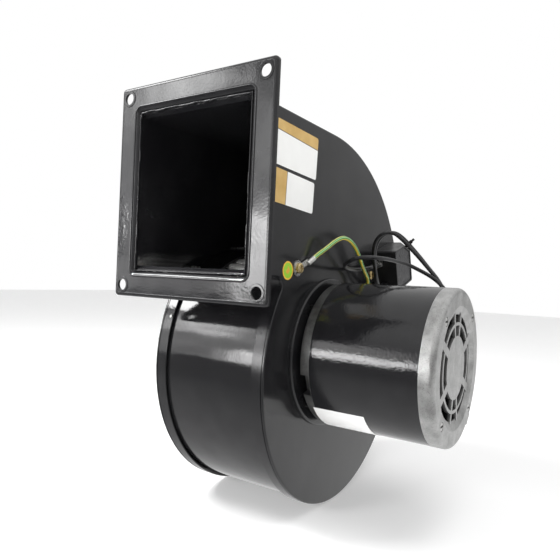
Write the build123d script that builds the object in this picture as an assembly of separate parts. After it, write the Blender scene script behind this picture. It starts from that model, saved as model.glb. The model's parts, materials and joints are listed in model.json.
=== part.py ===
from build123d import *
import math
import os

# Direct-drive centrifugal blower, in millimetres. The origin is the centre of the outlet
# flange's front face. The outlet blows towards -Y, the motor stands out towards +X, +Z is up.

# Outlet flange, pressed from one sheet with a rolled lip and a collar round the neck
flange_width = 158.0
flange_height = 174.0
flange_sheet = 1.5
flange_corner_radius = 3.5
flange_return = 4.0
flange_edge_radius = 2.2
flange_hole_inset = 9.5
flange_hole_diameter = 9.5
hole_boss_width = 2.0
hole_boss_height = 0.5
lip_radius = 4.5
collar_depth = 14.0
collar_fit = 0.1

# Scroll housing, two side plates with turned rims over one wrapper strip
housing_width = 115.0
neck_height = 131.0
neck_setback = 3.5
sheet = 1.2
rim_depth = 12.0
rim_edge_radius = 1.1
rim_lip_radius = 0.4
seam_inset = 1.8
seam_width = 0.8
seam_depth = 0.6
rim_gap = 1.6
motor_axis_y = 131.5
motor_axis_drop = 131.5
scroll_top_reach = -1.5
scroll_top_radius = 178.5
scroll_back_radius = 156.0
scroll_low_radius = 129.0
scroll_back_angle = -17.0
scroll_low_angle = -73.5
tongue_radius = 7.5

# Raised seat pressed in the motor side plate
seat_radius = 66.4
seat_height = 3.0
seat_edge_radius = 1.8
shaft_opening_radius = 24.0

# Inlet side
inlet_plate_hole_radius = 90.0
inlet_ring_radius = 97.2
inlet_throat_radius = 66.0
inlet_bell_radius = 14.0
inlet_lip_length = 9.0
inlet_screw_circle_radius = 93.6
inlet_screw_count = 8
inlet_screw_first = 131.0
inlet_screw_radius = 2.0
inlet_screw_length = 11.0
inlet_head_radius = 3.4
inlet_head_height = 2.2

# Wheel
wheel_radius = 86.0
wheel_inner_radius = 70.0
wheel_inlet_gap = 24.5
wheel_back_gap = 9.0
wheel_sheet = 1.0
end_ring_depth = 8.5
back_plate_rim = 5.0
blade_count = 40
blade_sheet = 0.8
blade_lead_angle = 4.6
blade_belly_angle = 1.0
blade_ring_fit = 0.15
hub_radius = 15.0
hub_length = 25.0
hub_flange_radius = 24.0
hub_plate_fit = 0.1
set_screw_radius = 3.0
set_screw_fit = 0.05
set_screw_stand = 1.0
set_screw_socket = 2.5

# Motor
motor_radius = 63.5
shell_sheet = 1.5
shell_length = 88.7
motor_standoff = 4.9
front_bell_depth = 9.4
front_bell_radius = 62.0
front_bell_web = 4.0
front_bell_chamfer = 1.0
front_shaft_gap = 1.5
front_window_rim = 14.0
front_window_hub = 5.0
front_spoke_width = 9.0
bell_wall = 3.5
bell_spigot = 5.0
bell_fit = 0.1
bell_notch_width = 18.0
bell_notch_depth = 8.0
bell_notch_rim = 1.7
bell_notch_angle = 200.0
rear_bell_depth = 11.5
rear_bell_edge_radius = 4.0
rear_bell_wall = 5.0
rear_opening_radius = 42.5
rear_opening_bevel = 6.8
rear_opening_lip = 4.0
rear_spoke_recess = 2.0
rear_spoke_thickness = 4.0
rear_disc_radius = 25.5
rear_ring_radius = 35.0
rear_ring_width = 2.6
rear_ring_thickness = 3.0
rear_wide_spoke = 6.5
rear_wide_angle = 30.0
rear_thin_spoke = 3.2
rear_thin_angle = 12.0
bearing_radius = 11.0
bearing_length = 10.0
bearing_boss_wall = 4.5
shaft_radius = 6.35
shaft_fit = 0.05
shaft_overhang = 28.5
shaft_end_gap = 1.0
shaft_tip_chamfer = 1.0
stator_inset = 17.2
stator_length = 48.0
stator_slot_start = 2.0
stator_bore_radius = 33.0
stator_slot_count = 24
stator_slot_width = 4.0
stator_slot_depth = 15.0
slot_fit = 0.15
winding_end_length = 13.0
winding_end_gap = 0.5
rotor_air_gap = 0.4
rotor_ring_step = 1.0
rotor_bar_ring_length = 8.0
rotor_bar_ring_inner = 20.0
rotor_fin_count = 8
rotor_fin_length = 6.0
rotor_fin_width = 2.0
slinger_radius = 9.0
slinger_thickness = 1.5
slinger_gap = 1.0

# Through bolts that clamp the motor and hold it on the plate
bolt_circle_radius = 54.5
bolt_count = 4
bolt_first_angle = 45.0
bolt_radius = 2.1
bolt_hole_fit = 0.3
bolt_head_radius = 3.2
bolt_head_height = 2.4
bolt_head_fit = 0.4
bolt_head_sink = 0.2
bolt_slot_width = 1.6
bolt_slot_depth = 0.9
bolt_end_length = 2.0
nut_across_flats = 8.0
nut_height = 3.4
spacer_radius = 5.0

# Capacitor on the motor side plate. The top of its front face is placed from the motor axis,
# and what is on the case is placed from that edge, in the case's own tilted directions.
capacitor_front = 96.8
capacitor_rise = 97.4
capacitor_tilt = 18.0
capacitor_depth = 43.5
capacitor_height = 43.8
capacitor_width = 23.0
capacitor_wall = 1.8
capacitor_edge_radius = 2.4
corner_cut_depth = 15.7
corner_cut_height = 9.4
corner_cut_width = 11.0
potting_rim = 0.8
ear_length = 26.0
ear_height = 18.0
ear_sheet = 1.6
ear_end_radius = 5.4
ear_hole_reach = 19.6
ear_drop = 20.3
clip_drop = 11.2
clip_width = 7.0
clip_sheet = 0.9
clip_barrel_length = 7.0
clip_barrel_wall = 0.7

# Screws on the outside of the motor side plate
plate_screw_radius = 2.4
plate_screw_head = 4.4
plate_screw_head_height = 2.6
plate_screw_length = 8.0
plate_hole_fit = 0.2
washer_radius = 6.6
washer_thickness = 0.9
ground_screw_forward = 59.6
ground_screw_rise = 73.8
terminal_radius = 5.2
terminal_sheet = 0.8
terminal_neck_width = 4.7
terminal_barrel_length = 7.0
terminal_barrel_radius = 2.3
terminal_mouth_length = 2.0

# Wires. Their points are measured from the seat's face and the motor axis, in the order from
# the terminal to the motor.
wire_radius = 1.75
wire_fit = 0.1
grommet_radius = 4.2
grommet_step = 1.0
grommet_length = 5.0
grommet_crown_length = 3.0
ground_route = [
    (1.2, -42.2, 82.1),
    (2.8, -36.0, 86.7),
    (5.9, -27.9, 91.9),
    (9.0, -19.2, 98.7),
    (12.0, -10.7, 103.2),
    (13.5, -0.9, 102.4),
    (13.9, 10.5, 97.9),
    (13.5, 21.3, 90.5),
    (12.3, 30.0, 83.4),
    (10.7, 41.2, 75.7),
    (9.5, 55.2, 67.2),
    (9.0, 55.8, 50.1),
    (9.0, 44.7, 40.1),
]
loop_lead_route = [
    (6.5, 87.7, 82.7),
    (6.4, 70.2, 79.9),
    (5.3, 55.7, 77.8),
    (5.7, 38.7, 76.2),
    (7.0, 23.8, 75.9),
    (9.5, 9.5, 76.4),
    (13.2, -5.5, 77.5),
    (20.5, -18.5, 80.3),
    (32.0, -22.6, 85.0),
    (42.4, -16.2, 85.8),
    (47.2, -3.6, 85.8),
    (49.2, 10.8, 85.3),
    (51.3, 25.0, 84.1),
    (56.0, 37.0, 82.4),
    (64.0, 47.1, 77.5),
    (72.3, 50.9, 72.9),
    (80.3, 54.2, 66.7),
    (90.8, 52.2, 55.8),
    (90.8, 42.0, 44.9),
]
arch_lead_route = [
    (8.5, 107.9, 63.2),
    (8.5, 93.6, 58.6),
    (10.5, 79.8, 60.2),
    (12.5, 67.8, 69.5),
    (13.5, 60.4, 80.5),
    (15.0, 52.6, 89.9),
    (17.0, 47.5, 98.9),
    (21.0, 45.4, 107.2),
    (27.3, 45.5, 112.0),
    (35.7, 49.2, 112.9),
    (42.6, 52.6, 107.4),
    (51.0, 57.0, 97.9),
    (59.0, 59.8, 89.1),
    (67.0, 62.2, 79.6),
    (74.8, 62.9, 71.1),
    (81.0, 61.9, 62.4),
    (87.0, 59.9, 46.8),
    (87.0, 48.0, 37.5),
]
back_lead_route = [
    (3.8, 107.9, 63.2),
    (3.8, 95.5, 59.2),
    (5.2, 85.8, 60.2),
    (8.8, 74.6, 69.0),
    (11.8, 65.6, 80.0),
    (13.3, 60.2, 90.3),
    (15.2, 55.6, 99.0),
    (19.0, 54.6, 107.0),
    (25.0, 54.4, 112.3),
    (33.2, 58.2, 114.2),
    (40.4, 62.4, 109.4),
    (48.6, 67.0, 99.5),
    (56.0, 71.2, 90.2),
    (63.5, 74.6, 80.2),
    (70.3, 79.0, 71.4),
    (76.5, 78.3, 62.3),
    (82.0, 69.3, 48.6),
    (86.0, 66.8, 34.0),
    (86.0, 54.4, 27.7),
]

# Sizes that follow from the ones above
half_housing = housing_width / 2
half_neck = neck_height / 2
motor_axis_z = -motor_axis_drop
scroll_radii = (scroll_top_radius, scroll_back_radius, scroll_low_radius)
scroll_turns = (scroll_back_angle, scroll_low_angle)
plate_inner_x = half_housing - sheet
seat_face_x = half_housing + seat_height
seat_inner_x = seat_face_x - sheet
wheel_inlet_x = -half_housing + wheel_inlet_gap
wheel_back_x = half_housing - wheel_back_gap
shaft_wheel_end_x = wheel_back_x - shaft_overhang
front_bell_x = seat_face_x + motor_standoff
shell_start_x = front_bell_x + front_bell_depth
shell_end_x = shell_start_x + shell_length
stator_start_x = shell_start_x + stator_inset
rear_face_x = shell_end_x + rear_bell_depth
rear_web_x = rear_face_x - rear_spoke_recess - rear_spoke_thickness
bore_radius = motor_radius - shell_sheet
spigot_radius = bore_radius - bell_fit
axis_place = (motor_axis_y, motor_axis_z)
ground_screw_place = (motor_axis_y - ground_screw_forward, motor_axis_z + ground_screw_rise)
capacitor_far_x = half_housing + capacitor_width
nodes = {}


def placed(route):
    # A wire's points in the part's frame
    return [(seat_face_x + x, motor_axis_y + y, motor_axis_z + z) for x, y, z in route]


ground_path = placed(ground_route)
loop_path = placed(loop_lead_route)
arch_path = placed(arch_lead_route)
back_path = placed(back_lead_route)


def polar(radius, angle, centre=axis_place):
    # A point at a radius and an angle in degrees round a centre, as (y, z)
    turn = math.radians(angle)
    return (centre[0] + radius * math.cos(turn), centre[1] + radius * math.sin(turn))


def prism(face, low_x, high_x):
    # A face drawn with y and z, extruded along X between two stations
    return extrude(Plane.YZ.offset(low_x) * face, high_x - low_x)


def disc(radius, low_x, high_x, centre=axis_place):
    # A cylinder along X
    return prism(Pos(centre[0], centre[1]) * Circle(radius), low_x, high_x)


def tube(outer, inner, low_x, high_x, centre=axis_place):
    return disc(outer, low_x, high_x, centre) - disc(inner, low_x - 1, high_x + 1, centre)


def turned(points, centre=axis_place):
    # A solid of revolution about the X line through a centre, from (x, radius) points
    outline = make_face(Polyline(*[(x, r) for x, r in points], close=True))
    body = revolve(outline, Axis.X)
    return Pos(0, centre[0], centre[1]) * body


def around(shape, angle, centre=axis_place):
    # A shape turned about the X line through a centre
    return Pos(0, centre[0], centre[1]) * Rot(angle, 0, 0) * Pos(0, -centre[0], -centre[1]) * shape


def scroll_centres():
    # Centres of the three tangent arcs of the scroll, as (y, z)
    first = (motor_axis_y + scroll_top_reach, half_neck - scroll_radii[0])
    second = polar(scroll_radii[0] - scroll_radii[1], scroll_turns[0], first)
    third = polar(scroll_radii[1] - scroll_radii[2], scroll_turns[1], second)
    return first, second, third


def tongue_centre():
    # Centre of the small round between the neck's bottom and the scroll
    last = scroll_centres()[2]
    level = -half_neck - tongue_radius
    rise = level - last[1]
    reach = math.sqrt((scroll_radii[2] + tongue_radius) ** 2 - rise**2)
    return (last[0] - reach, level)


def outline(inset, front):
    # The housing seen from the side, all walls moved inwards by an inset
    first, second, third = scroll_centres()
    tongue = tongue_centre()
    end_angle = math.degrees(math.atan2(tongue[1] - third[1], tongue[0] - third[0]))
    angles = [90.0, scroll_turns[0], scroll_turns[1], end_angle - 360.0]
    edge = Line((front, half_neck - inset), (first[0], half_neck - inset))
    for centre, radius, start, stop in zip(
        (first, second, third), scroll_radii, angles, angles[1:]
    ):
        edge += CenterArc(centre, radius - inset, start, stop - start)
    edge += CenterArc(tongue, tongue_radius + inset, end_angle - 180.0, 270.0 - end_angle)
    edge += Line((tongue[0], -half_neck + inset), (front, -half_neck + inset))
    edge += Line((front, -half_neck + inset), (front, half_neck - inset))
    return make_face(edge)


def strip(outer_inset, inner_inset, low_x, high_x):
    # A strip of sheet that follows the housing's outline, open at the outlet
    outer = outline(outer_inset, neck_setback)
    inner = outline(inner_inset, neck_setback - 5.0)
    return prism(outer, low_x, high_x) - prism(inner, low_x - 1, high_x + 1)


def outline_edges(plate, x):
    # The plate's edges at a station X that follow the outline, behind its open front
    border = outline(0, neck_setback).face().outer_wire()
    edges = []
    for edge in plate.edges().filter_by_position(Axis.X, x - 0.01, x + 0.01):
        middle = edge @ 0.5
        off = border.distance_to(Vector(middle.Y, middle.Z, 0))
        if middle.Y > neck_setback + 0.1 and off < 0.01:
            edges.append(edge)
    return edges


def rimmed_plate():
    # A side plate in the middle plane's +X direction with its rim turned back over the wrapper
    plate = prism(outline(0, neck_setback), plate_inner_x, half_housing)
    plate += strip(0, sheet, half_housing - rim_depth, half_housing)
    for x, radius in ((half_housing, rim_edge_radius), (half_housing - rim_depth, rim_lip_radius)):
        plate = fillet(outline_edges(plate, x), radius)
    seam_x = half_housing - seam_inset
    return plate - strip(-1.0, seam_depth, seam_x - seam_width, seam_x)


def outlet_flange():
    opening_half_x = half_housing + collar_fit
    opening_half_z = half_neck + collar_fit
    front = Plane.XZ
    outer = Rectangle(flange_width, flange_height)
    outer = fillet(outer.vertices(), flange_corner_radius)
    pocket = Rectangle(flange_width - 2 * flange_sheet, flange_height - 2 * flange_sheet)
    pocket = fillet(pocket.vertices(), flange_corner_radius - flange_sheet)
    body = extrude(front * outer, -flange_return)
    front_edges = body.edges().filter_by_position(Axis.Y, -0.01, 0.01)
    body = fillet(front_edges, flange_edge_radius)
    body -= extrude(Plane.XZ.offset(-flange_sheet) * pocket, -flange_return)
    collar_half_x = opening_half_x + flange_sheet
    collar_half_z = opening_half_z + flange_sheet
    collar = Rectangle(2 * collar_half_x, 2 * collar_half_z)
    collar = fillet(collar.vertices(), flange_sheet + 1.0)
    body += extrude(Plane.XZ.offset(-flange_sheet + 0.2) * collar, -(collar_depth - flange_sheet + 0.2))
    root = [
        e
        for e in body.edges().filter_by_position(Axis.Y, flange_sheet - 0.01, flange_sheet + 0.01)
        if abs(e.center().X) < collar_half_x + 0.1 and abs(e.center().Z) < collar_half_z + 0.1
    ]
    body = fillet(root, lip_radius - flange_sheet)
    opening = Rectangle(2 * opening_half_x, 2 * opening_half_z)
    opening = fillet(opening.vertices(), 1.0)
    body -= extrude(Plane.XZ.offset(1) * opening, -(collar_depth + 2))
    lip = [
        e
        for e in body.edges().filter_by_position(Axis.Y, -0.01, 0.01)
        if abs(e.center().X) < opening_half_x + 0.1 and abs(e.center().Z) < opening_half_z + 0.1
    ]
    body = fillet(lip, lip_radius)
    hole_radius = flange_hole_diameter / 2
    span_x = flange_width - 2 * flange_hole_inset
    span_z = flange_height - 2 * flange_hole_inset
    places = GridLocations(span_x, span_z, 2, 2)
    bosses = Sketch() + places * Circle(hole_radius + hole_boss_width)
    boss = extrude(Plane.XZ * bosses, hole_boss_height)
    body += boss
    rims = [
        e
        for e in body.edges().filter_by_position(
            Axis.Y, -hole_boss_height - 0.01, -hole_boss_height + 0.01
        )
    ]
    body = fillet(rims, hole_boss_height * 0.8)
    holes = Sketch() + places * Circle(hole_radius)
    body -= extrude(Plane.XZ.offset(2) * holes, -(flange_return + 4))
    return body


def scroll_wrapper():
    reach = plate_inner_x
    return strip(sheet + rim_gap, 2 * sheet + rim_gap, -reach, reach)


def bolt_places():
    step = 360.0 / bolt_count
    return [polar(bolt_circle_radius, bolt_first_angle + step * i) for i in range(bolt_count)]


def motor_side_plate():
    body = rimmed_plate()
    seat = disc(seat_radius, plate_inner_x, seat_face_x)
    crown = seat.edges().filter_by_position(Axis.X, seat_face_x - 0.01, seat_face_x + 0.01)
    seat = fillet(crown, seat_edge_radius)
    body += seat
    body -= disc(seat_radius - sheet, plate_inner_x - 1, seat_inner_x)
    body -= disc(shaft_opening_radius, plate_inner_x - 1, seat_face_x + 1)
    for place in bolt_places():
        body -= disc(bolt_radius + bolt_hole_fit, plate_inner_x - 1, seat_face_x + 1, place)
    for place in (ground_screw_place, ear_place()):
        body -= disc(plate_screw_radius + plate_hole_fit, plate_inner_x - 1, half_housing + 1, place)
    return body


def inlet_screw_angles():
    step = 360.0 / inlet_screw_count
    return [inlet_screw_first + step * i for i in range(inlet_screw_count)]


def inlet_side_plate():
    body = mirror(rimmed_plate(), Plane.YZ)
    body -= disc(inlet_plate_hole_radius, -half_housing - 1, -plate_inner_x + 1)
    for angle in inlet_screw_angles():
        place = polar(inlet_screw_circle_radius, angle)
        body -= disc(inlet_screw_radius + plate_hole_fit, -half_housing - 1, -plate_inner_x + 1, place)
    return body


def inlet_ring():
    # Flat ring outside the plate with a bell mouth that curls in towards the wheel's eye
    outer_x = -half_housing - sheet
    bend = inlet_bell_radius
    section = Polyline(
        (outer_x, inlet_ring_radius),
        (-half_housing, inlet_ring_radius),
        (-half_housing, inlet_throat_radius + bend),
    )
    start = (-half_housing, inlet_throat_radius + bend)
    centre = (outer_x + bend, inlet_throat_radius + bend)
    inner_bend = bend - sheet
    section += CenterArc(centre, inner_bend, 180, 90)
    lip_x = outer_x + bend + inlet_lip_length
    low = (centre[0], inlet_throat_radius + sheet)
    section += Line(low, (lip_x, inlet_throat_radius + sheet))
    section += Line((lip_x, inlet_throat_radius + sheet), (lip_x, inlet_throat_radius))
    section += Line((lip_x, inlet_throat_radius), (centre[0], inlet_throat_radius))
    section += CenterArc(centre, bend, 270, -90)
    section += Line((outer_x, inlet_throat_radius + bend), (outer_x, inlet_ring_radius))
    body = revolve(make_face(section), Axis.X)
    body = Pos(0, motor_axis_y, motor_axis_z) * body
    for angle in inlet_screw_angles():
        place = polar(inlet_screw_circle_radius, angle)
        body -= disc(inlet_screw_radius + plate_hole_fit, outer_x - 1, -half_housing + 1, place)
    return body


def pan_head(radius, height, base_x, place, direction):
    # A domed screw head that sits on a face at base_x and points along +X or -X
    low, high = sorted((base_x, base_x + direction * height))
    head = disc(radius, low, high, place)
    top = base_x + direction * height
    rim = head.edges().filter_by_position(Axis.X, top - 0.01, top + 0.01)
    head = fillet(rim, height * 0.55)
    slot = Box(height * 0.9, radius * 1.3, height * 0.28)
    for turn in (0, 90):
        head -= Pos(top, place[0], place[1]) * Rot(turn, 0, 0) * slot
    return head


def screw(radius, length, head_radius, head_height, base_x, place, direction):
    low, high = sorted((base_x, base_x - direction * length))
    return pan_head(head_radius, head_height, base_x, place, direction) + disc(
        radius, low, high, place
    )


def inlet_ring_screws():
    return [
        screw(
            inlet_screw_radius,
            inlet_screw_length,
            inlet_head_radius,
            inlet_head_height,
            -half_housing - sheet,
            polar(inlet_screw_circle_radius, angle),
            -1,
        )
        for angle in inlet_screw_angles()
    ]


def blade():
    # One forward-curved blade, its section a thin arc between the inner and outer radii
    margin = blade_ring_fit + blade_sheet / 2
    inner = polar(wheel_inner_radius + margin, 0, (0, 0))
    outer = polar(wheel_radius - wheel_sheet - margin, blade_lead_angle, (0, 0))
    middle_radius = (wheel_inner_radius + wheel_radius) / 2
    belly = polar(middle_radius, -blade_belly_angle, (0, 0))
    arc = ThreePointArc(inner, belly, outer)
    centre = arc.arc_center
    radius = arc.radius

    def moved(point, size):
        scale = size / radius
        return (
            centre.X + (point[0] - centre.X) * scale,
            centre.Y + (point[1] - centre.Y) * scale,
        )

    near, far = radius - blade_sheet / 2, radius + blade_sheet / 2
    edge = ThreePointArc(moved(inner, near), moved(belly, near), moved(outer, near))
    edge += Line(moved(outer, near), moved(outer, far))
    edge += ThreePointArc(moved(outer, far), moved(belly, far), moved(inner, far))
    edge += Line(moved(inner, far), moved(inner, near))
    section = make_face(edge)
    low_x = wheel_inlet_x + wheel_sheet
    high_x = wheel_back_x - wheel_sheet
    return Pos(0, motor_axis_y, motor_axis_z) * prism(section, low_x, high_x)


def wheel_blades():
    first = blade()
    return [around(first, 360.0 / blade_count * i) for i in range(blade_count)]


def wheel_end_ring():
    # Channel ring that closes the blades' inlet ends
    flat = tube(wheel_radius, wheel_inner_radius, wheel_inlet_x, wheel_inlet_x + wheel_sheet)
    band = tube(
        wheel_radius,
        wheel_radius - wheel_sheet,
        wheel_inlet_x,
        wheel_inlet_x + end_ring_depth,
    )
    return flat + band


def wheel_back_plate():
    low_x = wheel_back_x - wheel_sheet
    body = disc(wheel_radius, low_x, wheel_back_x)
    body += tube(wheel_radius, wheel_radius - wheel_sheet, wheel_back_x - back_plate_rim, wheel_back_x)
    body -= disc(hub_radius + hub_plate_fit, low_x - 1, wheel_back_x + 1)
    return body


def wheel_hub():
    # Turned hub, its flange riveted behind the back plate and its bore on the shaft
    low_x = wheel_back_x - hub_length
    body = disc(hub_radius, low_x, wheel_back_x + wheel_sheet)
    body += disc(hub_flange_radius, wheel_back_x, wheel_back_x + 2 * wheel_sheet)
    body -= disc(shaft_radius, low_x - 1, wheel_back_x + 10)
    bore_x = low_x + hub_length / 3
    screw_way = Cylinder(set_screw_radius, hub_radius + 5, align=(Align.CENTER, Align.CENTER, Align.MIN))
    body -= Pos(bore_x, motor_axis_y, motor_axis_z) * screw_way
    return body


def hub_set_screw():
    bore_x = wheel_back_x - hub_length + hub_length / 3
    low = shaft_radius
    length = hub_radius - low + set_screw_stand
    body = Cylinder(
        set_screw_radius - set_screw_fit,
        length,
        align=(Align.CENTER, Align.CENTER, Align.MIN),
    )
    socket = extrude(RegularPolygon(set_screw_radius * 0.55, 6), set_screw_socket)
    body -= Pos(0, 0, length - set_screw_socket) * socket
    return Pos(bore_x, motor_axis_y, motor_axis_z + low) * body


def motor_shaft():
    body = disc(shaft_radius, shaft_wheel_end_x, rear_web_x - shaft_end_gap)
    tip = body.edges().filter_by_position(Axis.X, shaft_wheel_end_x - 0.01, shaft_wheel_end_x + 0.01)
    return chamfer(tip, shaft_tip_chamfer)


def motor_shell():
    body = tube(motor_radius, bore_radius, shell_start_x, shell_end_x)
    for place, angle in lead_exits():
        way = Cylinder(grommet_radius - grommet_step, motor_radius / 3)
        y, z = polar(motor_radius, angle)
        body -= Pos(place, y, z) * Rot(angle - 90, 0, 0) * way
    return body


def lead_exits():
    # Where the leads enter the shell, as (x, angle round the axis)
    exits = []
    for path in (loop_path, arch_path, back_path):
        x, y, z = path[-1]
        exits.append((x, math.degrees(math.atan2(z - motor_axis_z, y - motor_axis_y))))
    return exits


def front_end_bell():
    x0 = front_bell_x
    web = x0 + front_bell_web
    boss = bearing_radius + bearing_boss_wall
    boss_end = web + bearing_length
    inner = front_bell_radius - bell_wall
    lip = shell_start_x + bell_spigot
    shaft_way = shaft_radius + front_shaft_gap
    body = turned(
        [
            (x0, shaft_way),
            (x0, front_bell_radius - front_bell_chamfer),
            (x0 + front_bell_chamfer, front_bell_radius),
            (shell_start_x, front_bell_radius),
            (shell_start_x, spigot_radius),
            (lip, spigot_radius),
            (lip, inner),
            (web, inner),
            (web, boss),
            (boss_end, boss),
            (boss_end, bearing_radius),
            (web, bearing_radius),
            (web, shaft_way),
        ]
    )
    window = tube(inner - front_window_rim, boss + front_window_hub, x0 - 1, web + 1)
    bar = Box(2 * front_bell_web, inner, front_spoke_width)
    bar = Pos(x0 + front_bell_web / 2, motor_axis_y + inner / 2, motor_axis_z) * bar
    for i in range(bolt_count):
        window -= around(bar, bolt_first_angle + 360.0 / bolt_count * i)
    body -= window
    notch_length = front_bell_depth - bell_notch_rim
    notch = Box(notch_length, 2 * bell_notch_depth, bell_notch_width)
    notch = Pos(x0 + notch_length / 2, motor_axis_y + front_bell_radius, motor_axis_z) * notch
    body -= around(notch, bell_notch_angle)
    for place in bolt_places():
        body -= disc(bolt_radius + bolt_hole_fit, x0 - 1, web + 1, place)
    grommet_x, grommet_angle = ground_exit()
    way = Cylinder(grommet_radius - grommet_step, front_bell_radius / 3)
    y, z = polar(front_bell_radius, grommet_angle)
    body -= Pos(grommet_x, y, z) * Rot(grommet_angle - 90, 0, 0) * way
    return body


def ground_exit():
    x, y, z = ground_path[-1]
    return (x, math.degrees(math.atan2(z - motor_axis_z, y - motor_axis_y)))


def rear_end_bell():
    edge = rear_bell_edge_radius
    face = rear_face_x
    spoke_face = face - rear_spoke_recess
    wall_back = face - rear_bell_wall
    inner = bore_radius - bell_wall
    lip_radius_out = rear_opening_radius + rear_opening_lip
    profile = Polyline(
        (shell_end_x, inner),
        (shell_end_x - bell_spigot, inner),
        (shell_end_x - bell_spigot, spigot_radius),
        (shell_end_x, spigot_radius),
        (shell_end_x, motor_radius),
        (face - edge, motor_radius),
    )
    profile += CenterArc((face - edge, motor_radius - edge), edge, 90, -90)
    profile += Polyline(
        (face, motor_radius - edge),
        (face, rear_opening_radius + rear_opening_bevel),
        (spoke_face - 1.0, rear_opening_radius),
        (rear_web_x, rear_opening_radius),
        (rear_web_x, lip_radius_out),
        (wall_back, lip_radius_out + rear_opening_lip),
        (wall_back, inner - 3.0),
        (wall_back - 3.0, inner),
        (shell_end_x, inner),
    )
    body = revolve(make_face(profile), Axis.X)
    body = Pos(0, motor_axis_y, motor_axis_z) * body
    body += disc(rear_disc_radius, rear_web_x, spoke_face)
    half_ring = rear_ring_width / 2
    body += tube(
        rear_ring_radius + half_ring,
        rear_ring_radius - half_ring,
        spoke_face - rear_ring_thickness,
        spoke_face,
    )
    reach = rear_opening_radius + rear_opening_lip / 2
    for base in (0, 180):
        for side in (-1, 1):
            for middle, spread, width in (
                (base, rear_wide_angle, rear_wide_spoke),
                (base + 90, rear_thin_angle, rear_thin_spoke),
            ):
                bar = Box(rear_spoke_thickness, reach, width)
                bar = Pos((rear_web_x + spoke_face) / 2, motor_axis_y + reach / 2, motor_axis_z) * bar
                body += around(bar, middle + side * spread)
    pocket_x = rear_web_x - bearing_length
    body += disc(bearing_radius + bearing_boss_wall, pocket_x, rear_web_x)
    body -= disc(bearing_radius, pocket_x - 1, rear_web_x)
    for place in bolt_places():
        body -= disc(bolt_radius + bolt_hole_fit, shell_end_x - bell_spigot - 1, face + 1, place)
        body -= disc(bolt_head_radius + bolt_head_fit, face - bolt_head_height, face + 1, place)
    return body


def bearing(low_x):
    return tube(bearing_radius, shaft_radius + shaft_fit, low_x, low_x + bearing_length)


def stator_core():
    high_x = stator_start_x + stator_length
    body = tube(spigot_radius, stator_bore_radius, stator_start_x, high_x)
    step = 360.0 / stator_slot_count
    middle = stator_bore_radius + stator_slot_start + stator_slot_depth / 2
    slot = Pos(stator_start_x + stator_length / 2, motor_axis_y + middle, motor_axis_z) * Box(
        stator_length + 2, stator_slot_depth, stator_slot_width
    )
    for i in range(stator_slot_count):
        body -= around(slot, step * i)
    for place in bolt_places():
        body -= disc(bolt_radius + bolt_hole_fit, stator_start_x - 1, high_x + 1, place)
    return body


def stator_windings():
    # Copper bars through the slots, joined by a rounded bundle at each end
    low_x = stator_start_x - winding_end_gap
    high_x = stator_start_x + stator_length + winding_end_gap
    step = 360.0 / stator_slot_count
    inner = stator_bore_radius + stator_slot_start + slot_fit
    depth = stator_slot_depth - 2 * slot_fit
    bar = Pos((low_x + high_x) / 2, motor_axis_y + inner + depth / 2, motor_axis_z) * Box(
        high_x - low_x, depth, stator_slot_width - 2 * slot_fit
    )
    body = None
    for base, direction in ((low_x, -1), (high_x, 1)):
        far_x = base + direction * winding_end_length
        low, high = sorted((base, far_x))
        bundle = tube(inner + depth, inner, low, high)
        rim = bundle.edges().filter_by_position(Axis.X, far_x - 0.01, far_x + 0.01)
        bundle = fillet(rim, depth * 0.35)
        body = bundle if body is None else body + bundle
    for i in range(stator_slot_count):
        body += around(bar, step * i)
    return body


def rotor_core():
    outer = stator_bore_radius - rotor_air_gap
    high_x = stator_start_x + stator_length
    return tube(outer, shaft_radius, stator_start_x, high_x)


def rotor_end_rings():
    # Cast rings at both ends of the rotor, with short fins that stir the air
    outer = stator_bore_radius - rotor_air_gap - rotor_ring_step
    rings = []
    for base, direction in ((stator_start_x, -1), (stator_start_x + stator_length, 1)):
        far_x = base + direction * rotor_bar_ring_length
        low, high = sorted((base, far_x))
        ring = tube(outer, rotor_bar_ring_inner, low, high)
        fin_x = far_x + direction * rotor_fin_length / 2
        middle = (outer + rotor_bar_ring_inner) / 2
        fin = Pos(fin_x, motor_axis_y + middle, motor_axis_z) * Box(
            rotor_fin_length, (outer - rotor_bar_ring_inner) * 0.8, rotor_fin_width
        )
        for i in range(rotor_fin_count):
            ring += around(fin, 360.0 / rotor_fin_count * i)
        rings.append(ring)
    return rings


def oil_slingers():
    # Thin washers on the shaft, just inside each bearing
    front = front_bell_x + front_bell_web + bearing_length + slinger_gap
    rear = rear_web_x - bearing_length - slinger_gap
    places = (front, rear - slinger_thickness)
    return [tube(slinger_radius, shaft_radius, x, x + slinger_thickness) for x in places]


def motor_bolts():
    bolts = []
    head_x = rear_face_x - bolt_head_height
    end_x = seat_inner_x - nut_height - bolt_end_length
    for place in bolt_places():
        body = disc(bolt_radius, end_x, head_x, place)
        head_top = rear_face_x - bolt_head_sink
        head = disc(bolt_head_radius, head_x, head_top, place)
        slot = Box(2 * bolt_slot_depth, 2 * bolt_head_radius, bolt_slot_width)
        head -= Pos(head_top, place[0], place[1]) * slot
        bolts.append(body + head)
    return bolts


def motor_bolt_nuts():
    nut_radius = nut_across_flats / math.sqrt(3)
    nuts = []
    for place in bolt_places():
        face = Pos(place[0], place[1]) * RegularPolygon(nut_radius, 6)
        nut = prism(face, seat_inner_x - nut_height, seat_inner_x)
        nuts.append(nut - disc(bolt_radius, seat_inner_x - nut_height - 1, seat_inner_x + 1, place))
    return nuts


def motor_spacers():
    return [
        tube(spacer_radius, bolt_radius + bolt_hole_fit, seat_face_x, front_bell_x, place)
        for place in bolt_places()
    ]


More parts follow.
